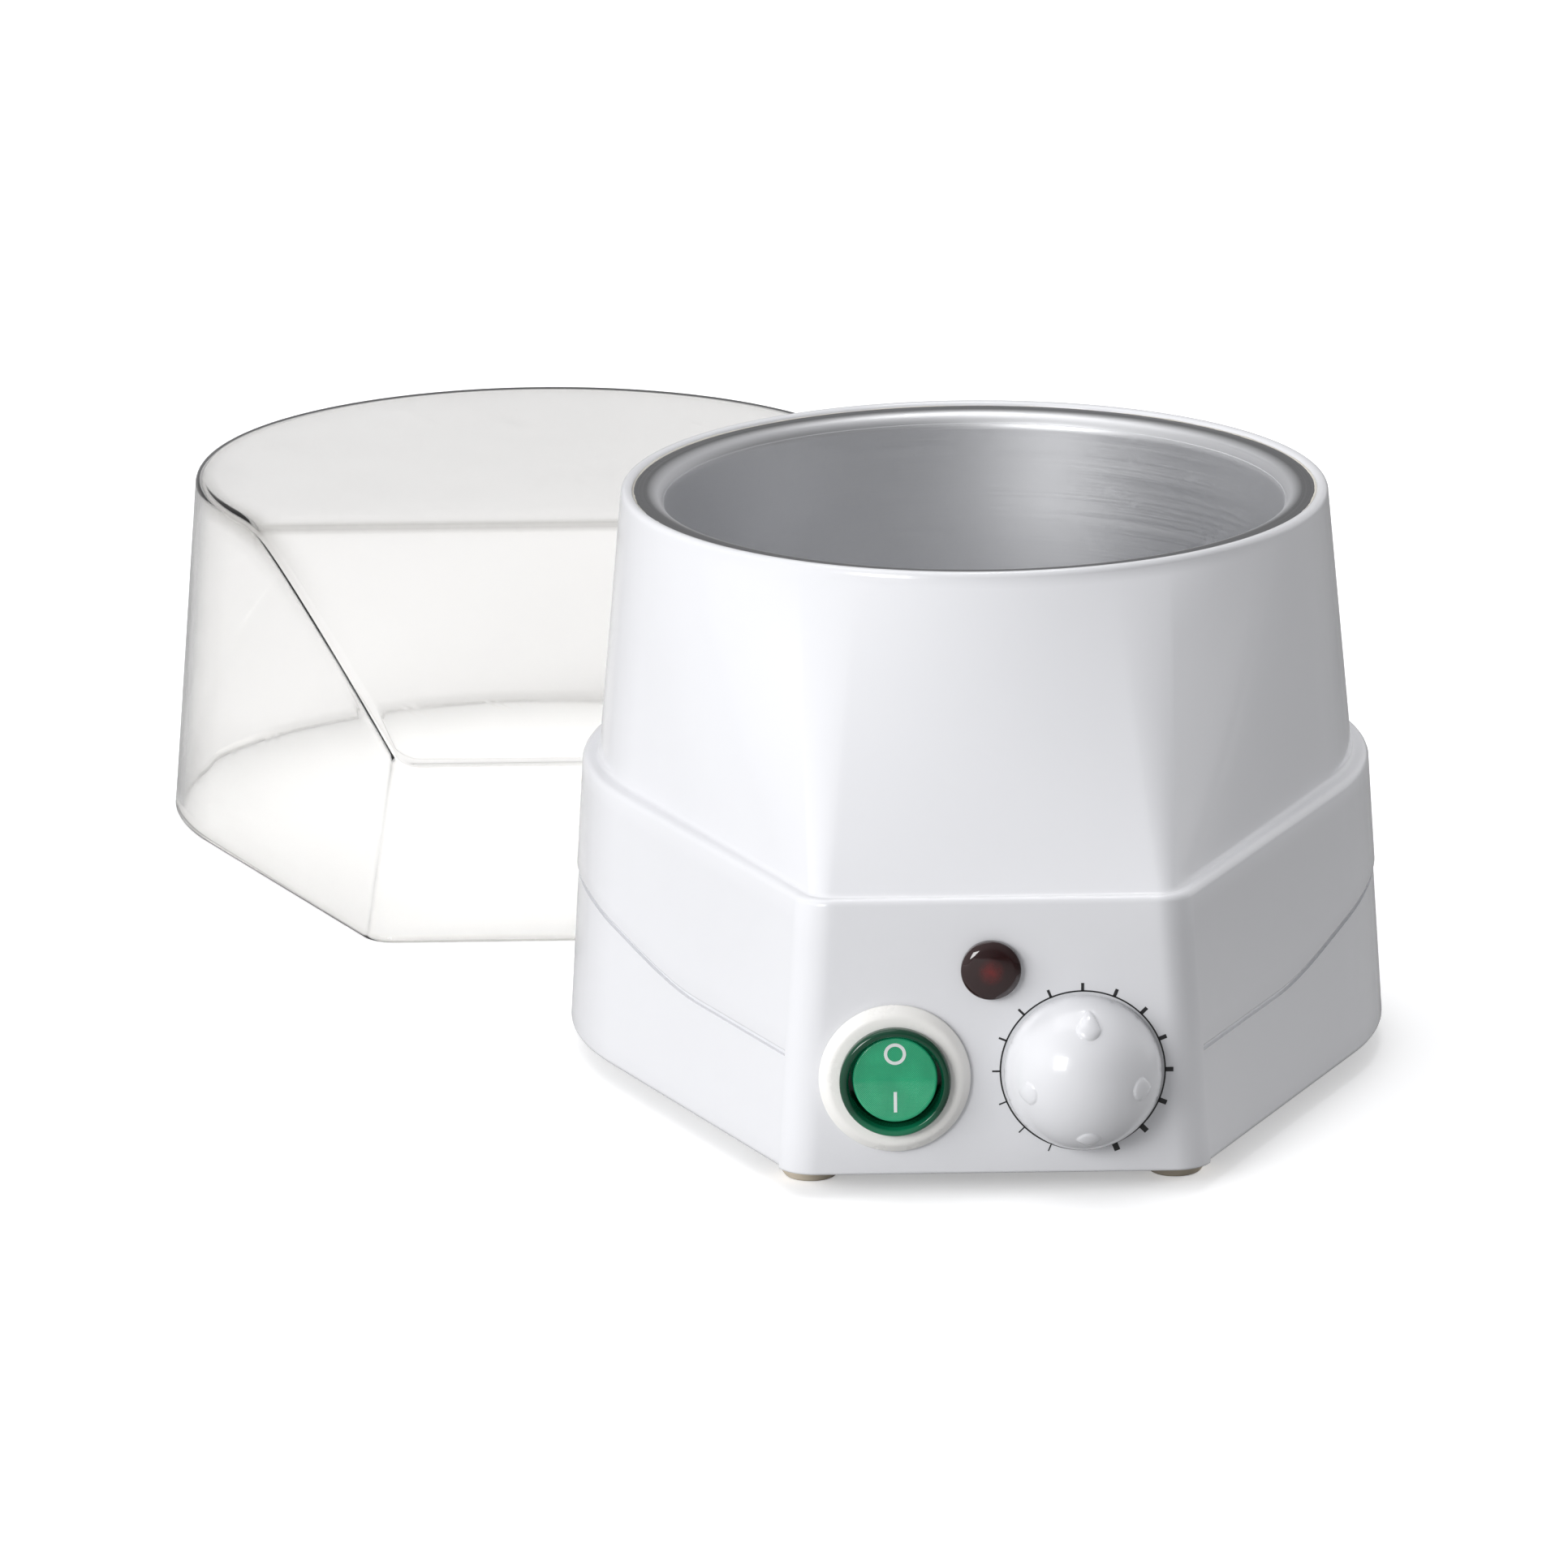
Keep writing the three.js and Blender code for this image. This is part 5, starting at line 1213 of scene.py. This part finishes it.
def lid_plans(body, lid):
    """Plans of the lid's outside at its mouth and, as if it weren't cut off there, at its top."""
    mouth = inset(skirt(body, body.ledge_height), lid.edge_inset)
    top = mouth._replace(radius=lid.top_radius, half_width=mouth.half_width - lid.nose_draft)
    return mouth, top


def lid_roof(lid, y, drawn_in):
    """Height of the lid's top at y: the lower of the flat top and of the plane that falls from the
    chord to the nose's band, blended over the crease by a smooth minimum."""
    slope = (LID_HEIGHT - lid.band_height) / (-PANEL_Y - lid.edge_inset - lid.chord)
    fall = LID_HEIGHT - slope * (-y - lid.chord) - drawn_in * (math.hypot(1, slope) - 1)
    lower = (LID_HEIGHT + fall) / 2 - np.sqrt((LID_HEIGHT - fall) ** 2 / 4 + CREASE_EASE**2)
    return lower + CREASE_EASE * 0.5 - drawn_in


def lid_rows(body, lid, drawn_in):
    """Rings of one face of the lid, from its mouth up the drafted wall and over the rounded edge to
    where the roof starts. A station's height and place depend on each other, so they are worked out
    in four rounds."""
    fillet = max(lid.edge_round - drawn_in, 0.5 * MM)

    def ring(level, inward):
        low, high = (outline(inset(plan, drawn_in + inward)) for plan in lid_plans(body, lid))
        points = low
        for _ in range(4):
            z = level(lid_roof(lid, points[:, 1], drawn_in))
            points = low + (high - low) * (z / LID_HEIGHT)[:, None]
        return lift(points, z)

    rows = [ring(lambda top, s=share: s * (top - fillet), 0) for share in np.linspace(0, 1, 25)]
    rows += [ring(lambda top, a=a: top - fillet * (1 - math.sin(a)), fillet * (1 - math.cos(a)))
             for a in arc_steps(7)[1:]]
    return rows


def roof_patch(lid, rim, drawn_in):
    """Points and faces that close a ring of stations: straight rows from side to side, the first
    along the nose's front, each at its stations' own y."""
    columns = 2 * FRONT_STEPS + 1
    count = len(rim)
    right = rim[FRONT_STEPS:HALF_STATIONS + 1]
    left = rim[(count - np.arange(FRONT_STEPS, HALF_STATIONS + 1)) % count]
    share = np.linspace(-1, 1, columns)[None, :, None]
    grid = (right[:, None] + left[:, None]) / 2 + (right[:, None] - left[:, None]) / 2 * share
    grid[1:, 1:-1, 2] = lid_roof(lid, grid[1:, 1:-1, 1], drawn_in)
    front = np.concatenate([rim[-FRONT_STEPS:], rim[:FRONT_STEPS + 1]])
    grid[0] = front
    return grid, grid_faces(*grid.shape[:2], wrap=False)


# Sizes of the painted shade on the lid's edges, crease and mouth.
EDGE_FADE = 16 * MM
EDGE_LEAST = 1.6 * MM
EDGE_GROWTH = 2.6 * MM
EDGE_GROWS_OVER = 40 * MM
CREASE_WIDTH = 1.4 * MM
MOUTH_WIDTH = 0.8 * MM


def lid_painted_edge_shade(body, lid, points):
    """Painted shade at each point, 0 to 1, that darkens the lid where its edges look deep: bell
    curves of the distance from the roof's outer edge, from the crease at the chord and from the
    mouth. The edge's curve widens towards the chord and fades down the slope."""
    x, y, z = points.T
    across = np.abs(x)

    def inside(plan):
        angle = flank_angle(plan)
        flank = plan.radius - (across * math.sin(angle) - y * math.cos(angle))
        before = across * math.cos(angle) + y * math.sin(angle) < 0
        return np.where(before, flank, plan.radius - np.hypot(x, y))

    low, high = (inside(plan) for plan in lid_plans(body, lid))
    to_wall = low + (high - low) * (z / LID_HEIGHT)
    to_roof = lid_roof(lid, y, 0) - z
    fade = np.exp(-np.clip(-y - lid.chord, 0, None) / EDGE_FADE)
    width = EDGE_LEAST + EDGE_GROWTH * np.clip(-y / EDGE_GROWS_OVER, 0, 1)
    edge = fade * np.exp(-(np.hypot(to_wall, to_roof) / width) ** 2)
    crease = np.exp(-((y + lid.chord) / CREASE_WIDTH) ** 2) * (to_roof < 3 * MM)
    mouth = 0.6 * np.exp(-(z / MOUTH_WIDTH) ** 2)
    return np.maximum(np.maximum(edge, crease), mouth)


def clear_lid(body, lid, material):
    """One closed wall: inner roof, inner wall, rounded mouth, outer wall and outer roof."""
    inner, outer = lid_rows(body, lid, lid.wall), lid_rows(body, lid, 0)
    soft = 0.35 * lid.wall
    inner[0][:, 2] += soft
    outer[0][:, 2] += soft
    mouth = []
    for share in np.linspace(0, 1, 7)[1:-1]:
        row = inner[0] + (outer[0] - inner[0]) * share
        row[:, 2] -= soft * math.sqrt(1 - (2 * share - 1) ** 2)
        mouth.append(row)
    rows = np.array([*inner[::-1], *mouth, *outer])
    walls = grid_faces(*rows.shape[:2])
    points, faces = [rows.reshape(-1, 3)], [walls]
    first = rows.shape[0] * rows.shape[1]
    for rim, drawn_in in ((inner[-1], lid.wall), (outer[-1], 0)):
        grid, patch = roof_patch(lid, rim, drawn_in)
        points.append(grid.reshape(-1, 3))
        faces.append((patch if not drawn_in else patch[:, ::-1]) + first)
        first += grid.shape[0] * grid.shape[1]
    points = np.concatenate(points)
    place = np.array([middle_of("lid").x, LID_LOW.y - PANEL_Y - lid.edge_inset, LID_LOW.z])
    piece = surface("lid_clear_shell", points + place, np.concatenate(faces), 50,
                    lid_painted_edge_shade(body, lid, points))
    return dress(piece, material, "lid", "lid_clear", "lid")


# ------------------------------------------------------------------ stage


WHITE = (1.0, 1.0, 1.0, 1.0)

# Each light's name, place, aim, width and height, power, and whether it is seen in reflections.
LIGHTS = (
    ("key", (-1.5, -2.4, 1.0), (0, 0, 0.06), (0.9, 0.9), 26, True),
    ("side", (-2.25, -1.3, 0.9), (0, 0, 0.06), (1.4, 1.4), 31, False),
    ("right", (2.2, 1.1, 0.4), (0, 0, 0.06), (1.4, 1.4), 36, False),
    ("top", (-0.6, 0.2, 2.6), (0, 0, 0.05), (2.0, 1.6), 13, True),
    ("strip", (0.25, 0.75, 2.6), (0, 0, 0.12), (0.7, 0.35), 7, True),
)


def grey(value):
    return (value, value, value, 1.0)


def looked_at(tree):
    """Light Path outputs, and 1 for what is seen directly or straight through a clear wall, less if
    the light was reflected inside the wall."""
    path = tree.nodes.new("ShaderNodeLightPath").outputs
    direct = ranged(tree, path["Glossy Depth"], 0.0, 1.0, 1.0, 0.35)
    through = maths(tree, "MULTIPLY", path["Is Transmission Ray"], direct)
    return path, maths(tree, "MAXIMUM", path["Is Camera Ray"], through)


def floor_material():
    """Pale board that sends less light back at the pot than it shows to the eye or through the
    lid, least of all on the right, where the pot is in shade."""
    material, tree, shader, where = blank("floor_pale")
    path, seen = looked_at(tree)
    mottle = ranged(tree, noise(tree, where, 3.0, 2.0), 0.3, 0.7, 0.0, 1.0)
    pale = mixed(tree, mottle, grey(0.97), grey(0.96))
    place = add(tree, "ShaderNodeSeparateXYZ", {0: where}).outputs
    right = ranged(tree, place[0], -0.05, 0.25, 0.0, 1.0)
    sent = mixed(tree, right, grey(0.55), grey(0.14))
    glow = maths(tree, "MULTIPLY_ADD", seen, 0.2, maths(tree, "MULTIPLY", path["Is Camera Ray"], 0.15))
    feed(shader, {
        "Base Color": mixed(tree, seen, sent, pale), "Roughness": 0.8, "Specular IOR Level": 0.1,
        "Emission Color": WHITE, "Emission Strength": glow,
    })
    return material


def area_light(name, at, aim, size, power, mirrored_too):
    """A rectangular soft light that faces a point. A fill light leaves no reflection of itself."""
    data = bpy.data.lights.new(name, "AREA")
    data.shape = "RECTANGLE"
    data.size, data.size_y = size
    data.energy = power
    lamp = bpy.data.objects.new(name, data)
    lamp.location = at
    lamp.visible_glossy = mirrored_too
    lamp.rotation_euler = (Vector(aim) - Vector(at)).to_track_quat("-Z", "Y").to_euler()
    bpy.context.scene.collection.objects.link(lamp)


def studio_world():
    """A grey studio for lighting and reflections, brighter overhead and at the left and dark behind;
    plain white where it is seen directly or straight through the lid."""
    world = bpy.data.worlds.new("studio")
    world.use_nodes = True
    tree = world.node_tree
    tree.nodes.clear()
    way = add(tree, "ShaderNodeSeparateXYZ", {0: tree.nodes.new("ShaderNodeTexCoord").outputs[0]})
    x, y, z = way.outputs
    upward = ranged(tree, z, 0.0, 0.9, 0.0, 1.0)
    leftward = ranged(tree, x, 0.2, -0.8, 0.0, 1.0)
    rightward = ranged(tree, x, 0.5, 0.95, 0.0, 1.0)
    backward = ranged(tree, y, 0.1, 0.6, 0.0, 1.0)
    sky = mixed(tree, upward, (0.09, 0.092, 0.097, 1), (0.42, 0.42, 0.43, 1))
    sky = mixed(tree, leftward, sky, (0.62, 0.62, 0.63, 1))
    sky = mixed(tree, rightward, sky, grey(0.20))
    sky = mixed(tree, backward, sky, (0.50, 0.50, 0.51, 1))
    studio = add(tree, "ShaderNodeBackground", {"Color": sky, "Strength": 1.0})
    white = add(tree, "ShaderNodeBackground", {"Color": WHITE, "Strength": 1.0})
    seen = looked_at(tree)[1]
    both = add(tree, "ShaderNodeMixShader", {0: seen, 1: studio.outputs[0], 2: white.outputs[0]})
    add(tree, "ShaderNodeOutputWorld", {0: both.outputs[0]})
    bpy.context.scene.world = world


def studio_floor():
    """A round pale floor: rings that grow wider outwards about the pot."""
    rings = 24
    radius = np.geomspace(0.5, 40, rings)
    rows = turned(np.column_stack([radius, np.full(rings, TABLE_Z)]), 96)
    middle = np.broadcast_to([0, 0, TABLE_Z], rows[:1].shape)
    rows = np.concatenate([middle, rows])
    floor = surface("floor", rows, grid_faces(*rows.shape[:2]))
    floor.data.materials.append(floor_material())


EYE_AT = (-0.1161, -3.5945, 1.0371)
HEADING, PITCH, ROLL = 0.0203, 0.2668, -0.0072
LENS, SENSOR = 380.2, 36


def camera():
    """A long lens a few metres away, a little above the pot and turned and rolled slightly."""
    forward = Vector((math.sin(HEADING) * math.cos(PITCH), math.cos(HEADING) * math.cos(PITCH),
                      -math.sin(PITCH)))
    level = Vector((math.cos(HEADING), -math.sin(HEADING), 0))
    right = level * math.cos(ROLL) + level.cross(forward) * math.sin(ROLL)
    up = right.cross(forward)
    data = bpy.data.cameras.new("camera")
    data.lens, data.sensor_width = LENS, SENSOR
    data.clip_end = 100
    eye = bpy.data.objects.new("camera", data)
    turn = Matrix((right, up, -forward)).transposed()
    eye.matrix_world = Matrix.Translation(EYE_AT) @ turn.to_4x4()
    bpy.context.scene.collection.objects.link(eye)
    bpy.context.scene.camera = eye


# ------------------------------------------------------------------ operators


class WAXPOT_OT_upper_housing(bpy.types.Operator):
    """Draw the white upper shell with its ledge, cone and rim"""

    bl_idname = "waxpot.upper_housing"
    bl_label = "Upper Housing"

    def execute(self, context):
        scene = context.scene
        upper_housing(scene.waxpot_body, shell_white(scene.waxpot_finishes))
        return {"FINISHED"}


class WAXPOT_OT_base_tray(bpy.types.Operator):
    """Draw the white lower shell under the seam"""

    bl_idname = "waxpot.base_tray"
    bl_label = "Base Tray"

    def execute(self, context):
        scene = context.scene
        base_tray(scene.waxpot_body, shell_white(scene.waxpot_finishes))
        return {"FINISHED"}


class WAXPOT_OT_well(bpy.types.Operator):
    """Draw the spun aluminium well and the bead round its flange"""

    bl_idname = "waxpot.well"
    bl_label = "Well and Bead"

    def execute(self, context):
        scene = context.scene
        bore = WELL_HIGH.x - scene.waxpot_well.flange_width
        # The flange beyond the bore's roll gets painted shade for its dark reflections.
        spun = metal("well_aluminium", scene.waxpot_finishes.aluminium, 0.44, painted_shade_beyond=bore + 3 * MM)
        heating_well(scene.waxpot_well, spun)
        rim_bead(scene.waxpot_well, scene.waxpot_body,
                 INNER_FINISHES["sealant"](scene.waxpot_finishes))
        return {"FINISHED"}


class WAXPOT_OT_feet(bpy.types.Operator):
    """Draw the four rubber feet"""

    bl_idname = "waxpot.feet"
    bl_label = "Rubber Feet"

    def execute(self, context):
        scene = context.scene
        rubber_feet(moulded("foot_rubber", scene.waxpot_finishes.foot, 0.65, 0.12, 0.08, 1600.0,
                            0.00003))
        return {"FINISHED"}


class WAXPOT_OT_gland(bpy.types.Operator):
    """Draw the cord gland at the back"""

    bl_idname = "waxpot.gland"
    bl_label = "Cord Gland"

    def execute(self, context):
        scene = context.scene
        cord_gland(trim_white(scene.waxpot_finishes))
        return {"FINISHED"}


class WAXPOT_OT_switch(bpy.types.Operator):
    """Draw the lighted switch: collar, bezel, rocker and its marks"""

    bl_idname = "waxpot.switch"
    bl_label = "Switch"

    def execute(self, context):
        scene = context.scene
        controls, finishes = scene.waxpot_controls, scene.waxpot_finishes
        switch_collar(controls, trim_white(finishes))
        switch_bezel(controls, bezel_green(finishes))
        switch_rocker(controls, switch_green(finishes))
        rocker_marks(controls, moulded("mark_print", (0.75, 0.78, 0.77), 0.4))
        return {"FINISHED"}


class WAXPOT_OT_lamp(bpy.types.Operator):
    """Draw the pilot lamp's lens"""

    bl_idname = "waxpot.lamp"
    bl_label = "Pilot Lamp"

    def execute(self, context):
        scene = context.scene
        lamp_lens(scene.waxpot_controls, lamp_red(scene.waxpot_finishes))
        return {"FINISHED"}


class WAXPOT_OT_dial(bpy.types.Operator):
    """Draw the printed ring and marks round the knob"""

    bl_idname = "waxpot.dial"
    bl_label = "Dial"

    def execute(self, context):
        scene = context.scene
        dial_scale(scene.waxpot_controls, moulded("dial_print", scene.waxpot_finishes.print, 0.4))
        return {"FINISHED"}


class WAXPOT_OT_knob(bpy.types.Operator):
    """Draw the domed knob with its raised drops"""

    bl_idname = "waxpot.knob"
    bl_label = "Knob"

    def execute(self, context):
        scene = context.scene
        control_knob(scene.waxpot_controls, shell_white(scene.waxpot_finishes))
        return {"FINISHED"}


class WAXPOT_OT_lid(bpy.types.Operator):
    """Draw the clear lid where it stands"""

    bl_idname = "waxpot.lid"
    bl_label = "Clear Lid"

    def execute(self, context):
        scene = context.scene
        clear_lid(scene.waxpot_body, scene.waxpot_lid, lid_clear(scene.waxpot_finishes))
        return {"FINISHED"}


class WAXPOT_OT_inner_parts(bpy.types.Operator):
    """Give the pieces inside the body the finish of their slot"""

    bl_idname = "waxpot.inner_parts"
    bl_label = "Inner Parts"

    def execute(self, context):
        scene = context.scene
        slots = {part["node"]: part["material_slot"] for part in frame["record"]["subparts"]}
        for name, piece in frame["nodes"].items():
            if piece.hide_render:
                continue
            material = INNER_FINISHES[slots[name]](scene.waxpot_finishes)
            piece.data.materials.clear()
            piece.data.materials.append(material)
        return {"FINISHED"}


class WAXPOT_OT_stage(bpy.types.Operator):
    """Set the floor, the lights and the camera"""

    bl_idname = "waxpot.stage"
    bl_label = "Stage"

    def execute(self, context):
        scene = context.scene
        scene.view_settings.view_transform = "Standard"
        studio_floor()
        studio_world()
        for light in LIGHTS:
            area_light(*light)
        camera()
        return {"FINISHED"}


OPERATORS = (
    WAXPOT_OT_upper_housing, WAXPOT_OT_base_tray, WAXPOT_OT_well, WAXPOT_OT_feet,
    WAXPOT_OT_gland, WAXPOT_OT_switch, WAXPOT_OT_lamp, WAXPOT_OT_dial, WAXPOT_OT_knob,
    WAXPOT_OT_lid, WAXPOT_OT_inner_parts, WAXPOT_OT_stage,
)


class WAXPOT_PT_sidebar(bpy.types.Panel):
    """Lists the pieces and their sizes"""

    bl_idname = "WAXPOT_PT_sidebar"
    bl_label = "Wax Warmer Pot"
    bl_space_type = "VIEW_3D"
    bl_region_type = "UI"
    bl_category = "Wax Pot"

    def draw(self, context):
        for operator in OPERATORS:
            self.layout.operator(operator.bl_idname)
        for name, group in GROUPS.items():
            box = self.layout.box()
            for field in group.__annotations__:
                box.prop(getattr(context.scene, name), field)


CLASSES = (*GROUPS.values(), *OPERATORS, WAXPOT_PT_sidebar)


def register():
    for cls in CLASSES:
        bpy.utils.register_class(cls)
    for name, group in GROUPS.items():
        setattr(bpy.types.Scene, name, PointerProperty(type=group))


def unregister():
    for name in GROUPS:
        delattr(bpy.types.Scene, name)
    for cls in reversed(CLASSES):
        bpy.utils.unregister_class(cls)


def main():
    register()
    for operator in OPERATORS:
        group, name = operator.bl_idname.split(".")
        getattr(getattr(bpy.ops, group), name)()


if __name__ == "__main__":
    main()
